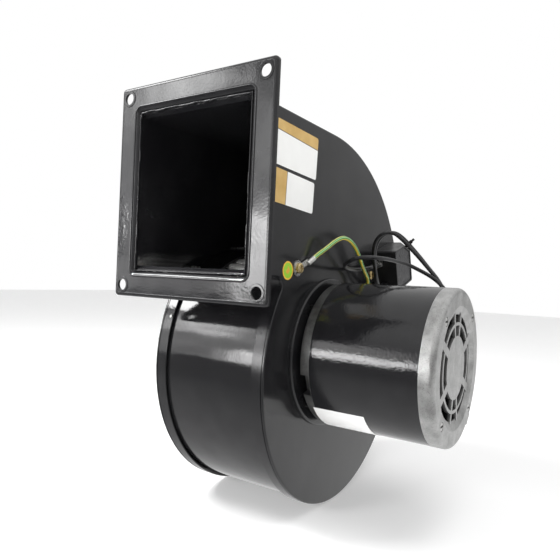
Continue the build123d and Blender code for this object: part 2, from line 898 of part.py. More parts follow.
def on_case(shape):
    # A shape drawn from the top of the case's front face, put where the tilted case is
    corner = Pos(0, motor_axis_y + capacitor_front, motor_axis_z + capacitor_rise)
    return corner * Rot(capacitor_tilt, 0, 0) * shape


def ear_place():
    # Centre of the hole in the capacitor's ear, as (y, z)
    hole = on_case(Pos(0, -ear_hole_reach, -ear_drop)).position
    return (hole.Y, hole.Z)


def case_block(inset, low_x, high_x):
    # The case's body with all walls moved inwards, its top back corner cut off at the open side
    depth = capacitor_depth - 2 * inset
    height = capacitor_height - 2 * inset
    face = fillet(Rectangle(depth, height).vertices(), capacitor_edge_radius - inset)
    face = Pos(capacitor_depth / 2, -capacitor_height / 2) * face
    body = prism(face, low_x, high_x)
    top_point = Vector(capacitor_far_x, capacitor_depth - corner_cut_depth, 0)
    side_point = Vector(capacitor_far_x - corner_cut_width, capacitor_depth, 0)
    back_point = Vector(capacitor_far_x, capacitor_depth, -corner_cut_height)
    outward = (back_point - top_point).cross(side_point - top_point)
    if outward.X < 0:
        outward = outward * -1
    cut = Plane(origin=top_point, x_dir=side_point - top_point, z_dir=outward).offset(-inset)
    return body - extrude(cut * Rectangle(4 * capacitor_depth, 4 * capacitor_depth), capacitor_depth)


def run_capacitor():
    # Open case with the mounting ear moulded on its front
    body = case_block(0, half_housing, capacitor_far_x)
    body -= case_block(capacitor_wall, half_housing + capacitor_wall, capacitor_far_x + 1)
    ear = Box(ear_sheet, ear_length + 1, ear_height)
    ear = Pos(half_housing + ear_sheet / 2, (1 - ear_length) / 2, -ear_drop) * ear
    ear = fillet(ear.edges().filter_by(Axis.X).group_by(Axis.Y)[0], ear_end_radius)
    body = on_case(body + ear)
    hole_radius = plate_screw_radius + plate_hole_fit
    return body - disc(hole_radius, half_housing - 1, half_housing + ear_sheet + 1, ear_place())


def capacitor_potting():
    fill = case_block(capacitor_wall, half_housing + capacitor_wall, capacitor_far_x - potting_rim)
    return on_case(fill)


def capacitor_clip():
    # Bright spade terminal that stands out of the case's front, crimped round the looped lead
    start = Vector(*loop_path[0])
    direction = Vector(*loop_path[1]) - start
    front = motor_axis_y + capacitor_front
    reach = (front - start.Y) / math.cos(math.radians(capacitor_tilt)) + clip_drop * math.tan(
        math.radians(capacitor_tilt)
    )
    blade_x = start.X - wire_radius - clip_sheet / 2
    body = on_case(Pos(blade_x, -reach / 2, -clip_drop) * Box(clip_sheet, reach, clip_width))
    mouth = Plane(origin=start, z_dir=direction)
    barrel = Circle(wire_radius + clip_barrel_wall)
    body += extrude(mouth.offset(-clip_barrel_length / 2) * barrel, clip_barrel_length)
    return body - extrude(mouth * Circle(wire_radius), clip_barrel_length)


def plate_screw(place, base_x):
    return screw(
        plate_screw_radius,
        plate_screw_length,
        plate_screw_head,
        plate_screw_head_height,
        base_x,
        place,
        1,
    )


def ground_washer():
    return tube(
        washer_radius,
        plate_screw_radius + plate_hole_fit,
        half_housing,
        half_housing + washer_thickness,
        ground_screw_place,
    )


def ground_terminal():
    # Ring tongue under the screw head, its neck ending in the crimp barrel that holds the wire
    y, z = ground_screw_place
    low = half_housing + washer_thickness
    high = low + terminal_sheet
    start = Vector(*ground_path[0])
    direction = (Vector(*ground_path[1]) - start).normalized()
    back = start - direction * (terminal_barrel_length / 2)
    neck_length = math.hypot(back.Y - y, back.Z - z)
    neck_angle = math.degrees(math.atan2(back.Z - z, back.Y - y))
    neck = Box(terminal_sheet, neck_length, terminal_neck_width)
    neck = Pos(low + terminal_sheet / 2, y + neck_length / 2, z) * neck
    ring = disc(terminal_radius, low, high, ground_screw_place)
    ring += around(neck, neck_angle, ground_screw_place)
    ring -= disc(plate_screw_radius + plate_hole_fit, low - 1, high + 1, ground_screw_place)
    mouth = Plane(origin=start, z_dir=direction)
    length = terminal_barrel_length + terminal_mouth_length
    barrel = extrude(mouth.offset(-terminal_barrel_length) * Circle(terminal_barrel_radius), length)
    return ring + (barrel - extrude(mouth * Circle(wire_radius), length))


def wire(route, name):
    # A round wire along a route of straight runs and tangent arcs
    runs = [math.dist(a, b) for a, b in zip(route, route[1:])]
    radii = []
    for i in range(1, len(route) - 1):
        before = Vector(*route[i]) - Vector(*route[i - 1])
        after = Vector(*route[i + 1]) - Vector(*route[i])
        turn = math.radians(before.get_angle(after))
        radii.append(0.45 * min(runs[i - 1], runs[i]) / math.tan(turn / 2))
    path = FilletPolyline(*route, radius=radii)
    start = Plane(origin=path @ 0, z_dir=path % 0)
    body = sweep(start * Circle(wire_radius), path=path)
    share = body.volume / (math.pi * wire_radius**2 * path.length)
    print(f"{name}: length {path.length:.1f}, volume over section times length {share:.4f}")
    print("  radii", [round(radius, 1) for radius in radii])
    return body


def grommet(x, angle, surface_radius):
    # Rubber bush in a hole, pointing out from the motor axis
    y, z = polar(surface_radius, angle)
    crown_align = (Align.CENTER, Align.CENTER, Align.MIN)
    neck_align = (Align.CENTER, Align.CENTER, Align.MAX)
    body = Cylinder(grommet_radius, grommet_crown_length, align=crown_align)
    body += Cylinder(grommet_radius - grommet_step, grommet_length, align=neck_align)
    body -= Cylinder(wire_radius + wire_fit, 3 * grommet_length)
    return Pos(x, y, z) * Rot(angle - 90, 0, 0) * body


nodes["outlet_flange"] = outlet_flange()
nodes["scroll_wrapper"] = scroll_wrapper()
nodes["motor_side_plate"] = motor_side_plate()
nodes["inlet_side_plate"] = inlet_side_plate()
nodes["inlet_ring"] = inlet_ring()
nodes["inlet_ring_screws"] = inlet_ring_screws()
nodes["wheel_blades"] = wheel_blades()
nodes["wheel_end_ring"] = wheel_end_ring()
nodes["wheel_back_plate"] = wheel_back_plate()
nodes["wheel_hub"] = wheel_hub()
nodes["hub_set_screw"] = hub_set_screw()
nodes["motor_shaft"] = motor_shaft()
nodes["motor_shell"] = motor_shell()
nodes["front_end_bell"] = front_end_bell()
nodes["rear_end_bell"] = rear_end_bell()
nodes["front_bearing"] = bearing(front_bell_x + front_bell_web)
nodes["rear_bearing"] = bearing(rear_web_x - bearing_length)
nodes["stator_core"] = stator_core()
nodes["stator_windings"] = stator_windings()
nodes["rotor_core"] = rotor_core()
nodes["rotor_end_rings"] = rotor_end_rings()
nodes["oil_slingers"] = oil_slingers()
nodes["motor_bolts"] = motor_bolts()
nodes["motor_bolt_nuts"] = motor_bolt_nuts()
nodes["motor_spacers"] = motor_spacers()
nodes["run_capacitor"] = run_capacitor()
nodes["capacitor_potting"] = capacitor_potting()
nodes["capacitor_clip"] = capacitor_clip()
nodes["capacitor_screw"] = plate_screw(ear_place(), half_housing + ear_sheet)
nodes["ground_washer"] = ground_washer()
nodes["ground_terminal"] = ground_terminal()
nodes["ground_screw"] = plate_screw(
    ground_screw_place, half_housing + washer_thickness + terminal_sheet
)
nodes["ground_wire"] = wire(ground_path, "ground_wire")
nodes["loop_lead"] = wire(loop_path, "loop_lead")
nodes["arch_lead"] = wire(arch_path, "arch_lead")
nodes["back_lead"] = wire(back_path, "back_lead")
nodes["lead_grommets"] = [grommet(x, angle, motor_radius) for x, angle in lead_exits()]
nodes["ground_grommet"] = grommet(*ground_exit(), front_bell_radius)

os.makedirs("parts", exist_ok=True)
for name, shape in nodes.items():
    solids = []
    for piece in shape if isinstance(shape, list) else [shape]:
        solids += list(piece.solids())
    node = solids[0] if len(solids) == 1 else Compound(solids)
    node.label = name
    export_step(node, f"parts/{name}.step")
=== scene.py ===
import json
import math
import bmesh
import bpy
from mathutils import Matrix, Vector, noise


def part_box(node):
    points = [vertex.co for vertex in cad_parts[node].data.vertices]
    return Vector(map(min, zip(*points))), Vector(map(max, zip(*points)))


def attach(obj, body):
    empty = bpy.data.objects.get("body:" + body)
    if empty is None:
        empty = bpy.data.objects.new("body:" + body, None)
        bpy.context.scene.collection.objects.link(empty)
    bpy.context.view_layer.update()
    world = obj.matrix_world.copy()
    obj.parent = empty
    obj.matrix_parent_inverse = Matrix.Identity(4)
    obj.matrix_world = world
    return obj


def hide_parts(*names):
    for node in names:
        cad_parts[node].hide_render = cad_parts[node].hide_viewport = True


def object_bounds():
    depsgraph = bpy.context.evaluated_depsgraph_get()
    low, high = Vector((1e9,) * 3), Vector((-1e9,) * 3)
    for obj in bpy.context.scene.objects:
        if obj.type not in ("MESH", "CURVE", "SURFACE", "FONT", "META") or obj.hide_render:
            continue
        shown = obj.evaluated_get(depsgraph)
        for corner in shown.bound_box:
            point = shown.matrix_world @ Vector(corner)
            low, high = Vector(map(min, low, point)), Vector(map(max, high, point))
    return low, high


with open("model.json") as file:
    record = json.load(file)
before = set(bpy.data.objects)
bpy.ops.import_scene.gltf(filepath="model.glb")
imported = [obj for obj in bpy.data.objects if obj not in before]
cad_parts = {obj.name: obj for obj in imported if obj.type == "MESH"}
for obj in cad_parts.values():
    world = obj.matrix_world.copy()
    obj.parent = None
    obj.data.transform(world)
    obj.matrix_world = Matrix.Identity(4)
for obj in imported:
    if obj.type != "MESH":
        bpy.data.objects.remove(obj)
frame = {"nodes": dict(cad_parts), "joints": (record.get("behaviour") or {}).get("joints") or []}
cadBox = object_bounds()
cadNodes = frame["nodes"]
mm = 0.001

# The wheel turns about this line, which is also the motor's axis
spin = frame["joints"][0]
axisY = spin["pos_m"][1]
axisZ = spin["pos_m"][2]

# The motor is bolted to this face
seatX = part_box("motor_side_plate")[1][0]


# Camera, at the photograph's angle

shot = {
    "place": (0.2849, -0.2979, -0.0650),
    "azimuth": 33.38,
    "elevation": 0.40,
    "roll": 2.54,
    "focalPixels": 529,
    "framePixels": 560,
    "sensorWidth": 36,
    "clipStart": 0.01,
}


def makeCamera():
    turns = ("azimuth", "elevation", "roll")
    azimuth, elevation, roll = (math.radians(shot[name]) for name in turns)
    back = Vector((
        math.sin(azimuth) * math.cos(elevation),
        -math.cos(azimuth) * math.cos(elevation),
        math.sin(elevation),
    ))
    level = (-back).cross(Vector((0, 0, 1))).normalized()
    upright = level.cross(-back)
    right = math.cos(roll) * level + math.sin(roll) * upright
    up = math.cos(roll) * upright - math.sin(roll) * level
    lens = bpy.data.cameras.new("shotCamera")
    lens.sensor_fit = "HORIZONTAL"
    lens.sensor_width = shot["sensorWidth"]
    lens.lens = shot["focalPixels"] / shot["framePixels"] * shot["sensorWidth"]
    lens.clip_start = shot["clipStart"]
    camera = bpy.data.objects.new("shotCamera", lens)
    bpy.context.scene.collection.objects.link(camera)
    turn = Matrix((right, up, back)).transposed().to_4x4()
    camera.matrix_world = Matrix.Translation(shot["place"]) @ turn
    bpy.context.scene.camera = camera


makeCamera()
print("camera placed")


# Materials. Each starts from one shader and adds grain, streaks or dents of its own.

class NodeWork:
    # A node tree under construction, with short calls for the nodes that this scene uses
    def __init__(self, tree, coordinates):
        self.tree = tree
        self.place = self.node("TexCoord").outputs[coordinates]

    def node(self, kind):
        return self.tree.nodes.new("ShaderNode" + kind)

    def link(self, start, end):
        self.tree.links.new(start, end)

    def fill(self, socket, value):
        # The value is a number, a tuple or another node's output
        if isinstance(value, (int, float, tuple)):
            socket.default_value = value
        else:
            self.link(value, socket)

    def axes(self, source=None):
        parts = self.node("SeparateXYZ")
        self.link(source or self.place, parts.inputs["Vector"])
        return parts.outputs["X"], parts.outputs["Y"], parts.outputs["Z"]

    def stretched(self, scale):
        mapping = self.node("Mapping")
        mapping.inputs["Scale"].default_value = scale
        self.link(self.place, mapping.inputs["Vector"])
        return mapping.outputs["Vector"]

    def cloud(self, scale, detail=3.0, roughness=0.5, source=None):
        node = self.node("TexNoise")
        node.inputs["Scale"].default_value = scale
        node.inputs["Detail"].default_value = detail
        node.inputs["Roughness"].default_value = roughness
        self.link(source or self.place, node.inputs["Vector"])
        return node.outputs["Fac"]

    def cells(self, scale):
        node = self.node("TexVoronoi")
        node.inputs["Scale"].default_value = scale
        self.link(self.place, node.inputs["Vector"])
        return node.outputs["Distance"]

    def ramp(self, value, low, high, start=0.0, end=1.0, smooth=False):
        node = self.node("MapRange")
        if smooth:
            node.interpolation_type = "SMOOTHSTEP"
        node.inputs["From Min"].default_value = low
        node.inputs["From Max"].default_value = high
        node.inputs["To Min"].default_value = start
        node.inputs["To Max"].default_value = end
        self.link(value, node.inputs["Value"])
        return node.outputs["Result"]

    def math(self, operation, first, second=0.0):
        node = self.node("Math")
        node.operation = operation
        self.fill(node.inputs[0], first)
        self.fill(node.inputs[1], second)
        return node.outputs["Value"]

    def blend(self, share, first, second):
        node = self.node("Mix")
        node.data_type = "RGBA"
        self.link(share, node.inputs["Factor"])
        for socket, value in ((node.inputs[6], first), (node.inputs[7], second)):
            self.fill(socket, (*value, 1) if isinstance(value, tuple) else value)
        return node.outputs[2]

    def shining(self, kind, strength):
        # White light of this strength, as a Background or an Emission
        node = self.node(kind)
        node.inputs["Color"].default_value = (1, 1, 1, 1)
        self.fill(node.inputs["Strength"], strength)
        return node.outputs[0]

    def added(self, first, second):
        node = self.node("AddShader")
        self.link(first, node.inputs[0])
        self.link(second, node.inputs[1])
        return node.outputs[0]

    def mixed(self, share, first, second):
        node = self.node("MixShader")
        for socket, value in zip(node.inputs, (share, first, second)):
            self.link(value, socket)
        return node.outputs[0]


# Nearly all of a noise's values lie between these
noiseSpan = (0.3, 0.7)


class Finish(NodeWork):
    # A material whose grain, gloss and dents are read from the piece's own place
    def __init__(self, name, colour, roughness, metallic=0.0, specular=0.5):
        self.material = bpy.data.materials.new(name)
        self.material.use_nodes = True
        super().__init__(self.material.node_tree, "Object")
        self.shader = self.tree.nodes["Principled BSDF"]
        self.shader.inputs["Base Color"].default_value = (*colour, 1)
        self.shader.inputs["Roughness"].default_value = roughness
        self.shader.inputs["Metallic"].default_value = metallic
        self.shader.inputs["Specular IOR Level"].default_value = specular

    def colour(self, value):
        self.link(value, self.shader.inputs["Base Color"])

    def roughness(self, noiseValue, smoothest, dullest):
        rough = self.ramp(noiseValue, *noiseSpan, smoothest, dullest)
        self.link(rough, self.shader.inputs["Roughness"])

    def dents(self, height, strength, distance):
        node = self.node("Bump")
        node.inputs["Strength"].default_value = strength
        node.inputs["Distance"].default_value = distance
        self.link(height, node.inputs["Height"])
        previous = self.shader.inputs["Normal"].links
        if previous:
            self.link(previous[0].from_socket, node.inputs["Normal"])
        self.link(node.outputs["Normal"], self.shader.inputs["Normal"])


# Where the enamel has run, low on the left of the outlet's flange
sagPatch = {"edge": (-0.071, -0.064), "middle": -0.026, "halfHeight": (0.012, 0.034)}


def blackEnamel(name, gloss, peel, sags=False):
    # Glossy black paint with orange peel, faint waves in the sheet and a few dust nibs. Gloss is
    # the roughness from its smoothest to its dullest patches, peel how strong the orange peel is.
    paint = Finish(name, (0.012, 0.012, 0.013), 0.14)
    paint.dents(paint.cloud(34, 1.0), 0.25, 0.0012)
    paint.dents(paint.cloud(420, 2.0), 0.08, 0.0004)
    paint.dents(paint.cloud(620, 2.0), peel, 0.0003)
    paint.dents(paint.ramp(paint.cells(160), 0.0, 0.06, 1.0, 0.0), 0.12, 0.0003)
    if sags:
        x, _, z = paint.axes()
        leftEdge = paint.ramp(x, *sagPatch["edge"], 1.0, 0.0)
        away = paint.math("ABSOLUTE", paint.math("SUBTRACT", z, sagPatch["middle"]))
        near = paint.ramp(away, *sagPatch["halfHeight"], 1.0, 0.0)
        patch = paint.math("MULTIPLY", leftEdge, near)
        paint.dents(paint.math("MULTIPLY", patch, paint.cloud(230, 2.0)), 0.8, 0.0012)
    wear = paint.cloud(22, 5.0, 0.6)
    paint.roughness(wear, *gloss)
    dusty = paint.ramp(wear, 0.45, 0.75)
    paint.colour(paint.blend(dusty, (0.010, 0.010, 0.011), (0.020, 0.020, 0.021)))
    return paint.material


def darkSheet():
    # Oiled dark steel, with rolling streaks along the shaft
    steel = Finish("darkSheet", (0.03, 0.03, 0.03), 0.42, 0.5)
    streaks = steel.cloud(90, 4.0, source=steel.stretched((0.2, 1, 1)))
    steel.colour(steel.blend(streaks, (0.012, 0.012, 0.012), (0.05, 0.05, 0.05)))
    steel.roughness(streaks, 0.34, 0.55)
    steel.dents(steel.cloud(600, 2.0), 0.1, 0.0003)
    return steel.material


def rolledMetal():
    # Bright rolled sheet of the blades, drawn lines along the shaft and a little spangle
    metal = Finish("rolledMetal", (0.8, 0.8, 0.79), 0.26, 0.75)
    lines = metal.cloud(900, 3.0, source=metal.stretched((0.03, 1, 1)))
    spangle = metal.cloud(120, 2.0)
    metal.colour(metal.blend(spangle, (0.62, 0.62, 0.61), (0.92, 0.92, 0.90)))
    metal.roughness(lines, 0.18, 0.36)
    metal.dents(lines, 0.12, 0.0002)
    return metal.material


# Within this radius and behind the rear face a bell's colour is painted dark: painted shade in the
# hollow inside the bell
bellInsideShade = {"radius": (0.050, 0.052), "x": (0.1700, 0.1722), "colour": (0.03, 0.03, 0.03)}


def castAluminium(name, shade, light):
    # Die-cast bells: fine pits, mottled skin, small dark specks
    cast = Finish(name, light, 0.42, 0.85)
    mottle = cast.cloud(75, 6.0, 0.65)
    specks = cast.ramp(cast.cells(900), 0.0, 0.3)
    skin = cast.blend(cast.ramp(mottle, *noiseSpan), shade, light)
    skin = cast.blend(specks, tuple(c * 0.4 for c in shade), skin)
    x, y, z = cast.axes()
    offY = cast.math("SUBTRACT", y, axisY)
    offZ = cast.math("SUBTRACT", z, axisZ)
    squares = [cast.math("MULTIPLY", off, off) for off in (offY, offZ)]
    out = cast.math("SQRT", cast.math("ADD", *squares))
    # Painted shade: the bell's inside is coloured dark where shade falls
    within = cast.ramp(out, *bellInsideShade["radius"], 1.0, 0.0)
    behind = cast.ramp(x, *bellInsideShade["x"], 1.0, 0.0)
    inside = cast.math("MULTIPLY", within, behind)
    cast.colour(cast.blend(inside, skin, bellInsideShade["colour"]))
    cast.roughness(mottle, 0.34, 0.52)
    cast.dents(cast.cloud(1500, 3.0), 0.22, 0.0003)
    cast.dents(specks, 0.15, 0.0003)
    return cast.material


def turnedSteel():
    # Lathe marks round the motor's axis
    steel = Finish("turnedSteel", (0.5, 0.5, 0.5), 0.3, 1.0)
    marks = steel.cloud(1400, 2.0, source=steel.stretched((1, 0.02, 0.02)))
    steel.colour(steel.blend(marks, (0.34, 0.34, 0.34), (0.62, 0.62, 0.61)))
    steel.roughness(marks, 0.22, 0.4)
    return steel.material


def platedSteel(name, colour, shade):
    # Zinc or brass coloured plating on fasteners, with hazy, duller patches here and there
    plate = Finish(name, colour, 0.3, 1.0)
    haze = plate.cloud(700, 4.0)
    plate.colour(plate.blend(plate.ramp(haze, 0.35, 0.7), shade, colour))
    plate.roughness(haze, 0.2, 0.42)
    plate.dents(haze, 0.1, 0.0002)
    return plate.material


def coreSteel():
    # Stacked sheets of the stator and rotor
    steel = Finish("coreSteel", (0.2, 0.2, 0.2), 0.5, 0.7)
    sheets = steel.cloud(1000, 1.0, source=steel.stretched((2.2, 0.01, 0.01)))
    steel.colour(steel.blend(sheets, (0.02, 0.02, 0.02), (0.09, 0.09, 0.09)))
    steel.dents(sheets, 0.4, 0.0003)
    return steel.material


def windingCopper():
    # Varnished copper strands
    copper = Finish("windingCopper", (0.42, 0.16, 0.06), 0.32, 0.4)
    strands = copper.cloud(800, 2.0, source=copper.stretched((1, 0.2, 0.2)))
    copper.colour(copper.blend(strands, (0.03, 0.012, 0.008), (0.16, 0.07, 0.03)))
    copper.dents(strands, 0.6, 0.0006)
    return copper.material


def mouldedPlastic():
    plastic = Finish("mouldedPlastic", (0.012, 0.012, 0.013), 0.38)
    texture = plastic.cloud(900, 2.0)
    plastic.dents(texture, 0.15, 0.0003)
    plastic.roughness(plastic.cloud(60, 3.0), 0.3, 0.5)
    plastic.colour(plastic.blend(texture, (0.008, 0.008, 0.008), (0.02, 0.02, 0.021)))
    return plastic.material


def pouredResin():
    # Rough potting with lumps and small craters
    resin = Finish("pouredResin", (0.03, 0.03, 0.032), 0.35)
    lumps = resin.cloud(150, 5.0, 0.6)
    resin.dents(lumps, 0.7, 0.0016)
    resin.dents(resin.ramp(resin.cells(330), 0.0, 0.25), 0.3, 0.0006)
    crests = resin.ramp(lumps, 0.35, 0.7)
    resin.colour(resin.blend(crests, (0.018, 0.018, 0.02), (0.06, 0.06, 0.063)))
    resin.roughness(lumps, 0.25, 0.55)
    return resin.material


# A band's own edge is this soft, and the rule along it fades out between these
bandEdge = {"soft": 0.0001, "rule": (0.00022, 0.0004)}


def labelPaper(name, colour, band=None):
    # Coated paper: faint fibres and a little yellowing. A band is a tan field past the line where
    # shareY * y + shareZ * z is the edge, with a thin dark rule along it.
    paper = Finish(name, colour, 0.4, 0.0, 0.35)
    fibres = paper.cloud(1200, 4.0, source=paper.stretched((1, 0.3, 1)))
    stain = paper.ramp(paper.cloud(30, 3.0), 0.35, 0.75)
    base = paper.blend(stain, colour, tuple(c * 0.9 for c in colour))
    if band:
        _, y, z = paper.axes()
        partY = paper.math("MULTIPLY", y, band["shareY"])
        partZ = paper.math("MULTIPLY", z, band["shareZ"])
        past = paper.math("SUBTRACT", paper.math("ADD", partY, partZ), band["edge"])
        mottle = paper.ramp(paper.cloud(60, 4.0), *noiseSpan)
        tan = paper.blend(mottle, (0.52, 0.32, 0.09), (0.66, 0.45, 0.17))
        within = paper.ramp(past, -bandEdge["soft"], bandEdge["soft"])
        base = paper.blend(within, base, tan)
        rule = paper.ramp(paper.math("ABSOLUTE", past), *bandEdge["rule"], 1.0, 0.0)
        base = paper.blend(rule, base, (0.05, 0.045, 0.04))
    paper.colour(base)
    paper.dents(fibres, 0.05, 0.0001)
    return paper.material


# The dot's centre is in Y and Z. Its rim and blot fade between two distances from there.
dot = {
    "centre": (0.0578, -0.0601),
    "radius": 0.0075,
    "rim": (0.0060, 0.00645),
    "blot": (0.00225, 0.0033),
    "ragged": 0.0022,
    "corners": 60,
}


def dotSticker():
    # Round vinyl dot: thin ochre rim, bright green field, ochre blot in the middle
    vinyl = Finish("dotSticker", (0.25, 0.5, 0.03), 0.3)
    apart = vinyl.node("VectorMath")
    apart.operation = "DISTANCE"
    vinyl.link(vinyl.stretched((0, 1, 1)), apart.inputs[0])
    apart.inputs[1].default_value = (0, *dot["centre"])
    away = apart.outputs["Value"]
    rim = vinyl.ramp(away, *dot["rim"])
    grain = vinyl.cloud(700, 3.0)
    green = vinyl.blend(grain, (0.24, 0.52, 0.02), (0.36, 0.72, 0.05))
    shift = vinyl.ramp(vinyl.cloud(420, 2.0), 0.2, 0.8, -dot["ragged"], dot["ragged"])
    blot = vinyl.ramp(vinyl.math("ADD", away, shift), *dot["blot"], 1.0, 0.0)
    field = vinyl.blend(blot, green, (0.74, 0.42, 0.05))
    vinyl.colour(vinyl.blend(rim, field, (0.85, 0.50, 0.06)))
    vinyl.dents(grain, 0.05, 0.0001)
    return vinyl.material


stripeBlur = 0.008


def wireJacket(name, colour, stripes=()):
    # Insulation read from the wire's own map: U runs along it in metres, V round it from 0 to 1.
    # Each stripe is (from, to, colour) in V.
    jacket = Finish(name, colour, 0.36)
    scuffs = jacket.cloud(260, 3.0)
    scuffed = tuple(min(1, c * 1.5 + 0.012) for c in colour)
    base = jacket.blend(jacket.ramp(scuffs, 0.4, 0.75), colour, scuffed)
    if stripes:
        ownMap = jacket.node("UVMap")
        ownMap.uv_map = "wireMap"
        around = jacket.axes(ownMap.outputs["UV"])[1]
        for low, high, stripe in stripes:
            half = (high - low) / 2
            away = jacket.math("ABSOLUTE", jacket.math("SUBTRACT", around, (low + high) / 2))
            within = jacket.ramp(away, half - stripeBlur, half + stripeBlur, 1.0, 0.0)
            base = jacket.blend(within, base, stripe)
    jacket.colour(base)
    jacket.roughness(scuffs, 0.28, 0.45)
    jacket.dents(jacket.cloud(900, 2.0), 0.08, 0.0002)
    return jacket.material


def mouldedRubber():
    rubber = Finish("mouldedRubber", (0.015, 0.015, 0.015), 0.6)
    bloom = rubber.cloud(500, 4.0)
    rubber.colour(rubber.blend(bloom, (0.01, 0.01, 0.01), (0.035, 0.034, 0.033)))
    rubber.dents(bloom, 0.2, 0.0003)
    return rubber.material


enamel = blackEnamel("blackEnamel", (0.05, 0.13), 0.06, sags=True)
plateEnamel = blackEnamel("plateEnamel", (0.15, 0.24), 0.06)
shellEnamel = blackEnamel("shellEnamel", (0.05, 0.10), 0.34)
sheetDark = darkSheet()
bladeMetal = rolledMetal()
castMetal = castAluminium("castMetal", (0.27, 0.27, 0.265), (0.56, 0.56, 0.555))
# Painted shade: a darker copy of the cast metal for the front bell, which sits in shade
castShaded = castAluminium("castShaded", (0.10, 0.10, 0.10), (0.24, 0.24, 0.235))
barSteel = turnedSteel()
zinc = platedSteel("zincPlate", (0.62, 0.62, 0.60), (0.38, 0.38, 0.37))
blackZinc = platedSteel("blackZinc", (0.05, 0.05, 0.05), (0.02, 0.02, 0.02))
brassPlate = platedSteel("brassPlate", (0.86, 0.70, 0.38), (0.5, 0.36, 0.15))
tin = platedSteel("tinPlate", (0.86, 0.85, 0.82), (0.6, 0.6, 0.58))
cores = coreSteel()
copper = windingCopper()
casePlastic = mouldedPlastic()
resin = pouredResin()
upperBand = {"shareY": 0.057, "shareZ": 1.0, "edge": 0.0496}
lowerBand = {"shareY": -1.0, "shareZ": 0.05, "edge": -0.0501}
paperUpper = labelPaper("paperUpper", (0.95, 0.95, 0.93), upperBand)
paperLower = labelPaper("paperLower", (0.95, 0.95, 0.93), lowerBand)
paperPlate = labelPaper("paperPlate", (0.84, 0.84, 0.83))
dotVinyl = dotSticker()
blackJacket = wireJacket("blackJacket", (0.010, 0.010, 0.011))
greenJacket = wireJacket("greenJacket", (0.035, 0.27, 0.045), (
    (-0.06, 0.095, (0.88, 0.84, 0.28)),
    (0.175, 0.215, (0.62, 0.80, 0.50)),
    (0.315, 0.50, (0.80, 0.60, 0.06)),
    (0.62, 0.80, (0.86, 0.78, 0.14)),
    (0.94, 1.06, (0.88, 0.84, 0.28)),
))
rubber = mouldedRubber()

nodeFinish = {
    "outlet_flange": enamel,
    "scroll_wrapper": enamel,
    "motor_side_plate": plateEnamel,
    "inlet_side_plate": enamel,
    "inlet_ring": sheetDark,
    "inlet_ring_screws": zinc,
    "wheel_blades": bladeMetal,
    "wheel_end_ring": sheetDark,
    "wheel_back_plate": bladeMetal,
    "wheel_hub": barSteel,
    "hub_set_screw": zinc,
    "motor_shaft": barSteel,
    "motor_shell": shellEnamel,
    "front_end_bell": castShaded,
    "rear_end_bell": castMetal,
    "front_bearing": barSteel,
    "rear_bearing": barSteel,
    "stator_core": cores,
    "stator_windings": copper,
    "rotor_core": cores,
    "rotor_end_rings": castMetal,
    "oil_slingers": barSteel,
    "motor_bolts": zinc,
    "motor_bolt_nuts": blackZinc,
    "motor_spacers": blackZinc,
    "run_capacitor": casePlastic,
    "capacitor_potting": resin,
    "capacitor_clip": tin,
    "capacitor_screw": brassPlate,
    "ground_washer": zinc,
    "ground_terminal": tin,
    "ground_screw": brassPlate,
    "lead_grommets": rubber,
    "ground_grommet": rubber,
}


def paintNodes():
    for name, finish in nodeFinish.items():
        slots = cadNodes[name].data.materials
        if len(slots) == 0:
            slots.append(finish)
        for i in range(len(slots)):
            slots[i] = finish


paintNodes()
print("finishes made:", len(bpy.data.materials))


# Pieces are built with these

def addPiece(name, mesh, material, body="housing"):
    piece = bpy.data.objects.new(name, mesh)
    bpy.context.scene.collection.objects.link(piece)
    mesh.materials.clear()
    mesh.materials.append(material)
    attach(piece, body)
    return piece


def meshFrom(name, build, smooth=True):
    shape = bmesh.new()
    build(shape)
    bmesh.ops.recalc_face_normals(shape, faces=shape.faces)
    mesh = bpy.data.meshes.new(name)
    shape.to_mesh(mesh)
    shape.free()
    if smooth:
        mesh.shade_smooth()
    return mesh


def bevelledBlock(shape, place, size, bevel):
    # A block with its edges rounded off
    matrix = place @ Matrix.Diagonal((*size, 1))
    corners = bmesh.ops.create_cube(shape, size=1.0, matrix=matrix)["verts"]
    edges = [e for e in shape.edges if e.verts[0] in corners]
    bmesh.ops.bevel(shape, geom=edges, offset=bevel, segments=2, affect="EDGES")


def closeRings(shape, rings):
    # Faces between rings of points: from each to the next, and from the last back to the first
    for i, a in enumerate(rings):
        b = rings[(i + 1) % len(rings)]
        for k in range(len(a)):
            m = (k + 1) % len(a)
            shape.faces.new((a[k], a[m], b[m], b[k]))


# Wires. Each lies on one smooth line through the same control points as its tube in the CAD,
# given in millimetres from the motor's seat and from its axis.

wireSet = {
    "diameter": 0.0035,
    "sides": 16,
    "steps": 10,
}

groundRoute = [
    (1.2, -42.2, 82.1), (2.8, -36.0, 86.7), (5.9, -27.9, 91.9), (9.0, -19.2, 98.7),
    (12.0, -10.7, 103.2), (13.5, -0.9, 102.4), (13.9, 10.5, 97.9), (13.5, 21.3, 90.5),
    (12.3, 30.0, 83.4), (10.7, 41.2, 75.7), (9.5, 55.2, 67.2), (9.0, 55.8, 50.1),
    (9.0, 44.7, 40.1),
]
loopRoute = [
    (6.5, 87.7, 82.7), (6.4, 70.2, 79.9), (5.3, 55.7, 77.8), (5.7, 38.7, 76.2),
    (7.0, 23.8, 75.9), (9.5, 9.5, 76.4), (13.2, -5.5, 77.5), (20.5, -18.5, 80.3),
    (32.0, -22.6, 85.0), (42.4, -16.2, 85.8), (47.2, -3.6, 85.8), (49.2, 10.8, 85.3),
    (51.3, 25.0, 84.1), (56.0, 37.0, 82.4), (64.0, 47.1, 77.5), (72.3, 50.9, 72.9),
    (80.3, 54.2, 66.7), (90.8, 52.2, 55.8), (90.8, 42.0, 44.9),
]
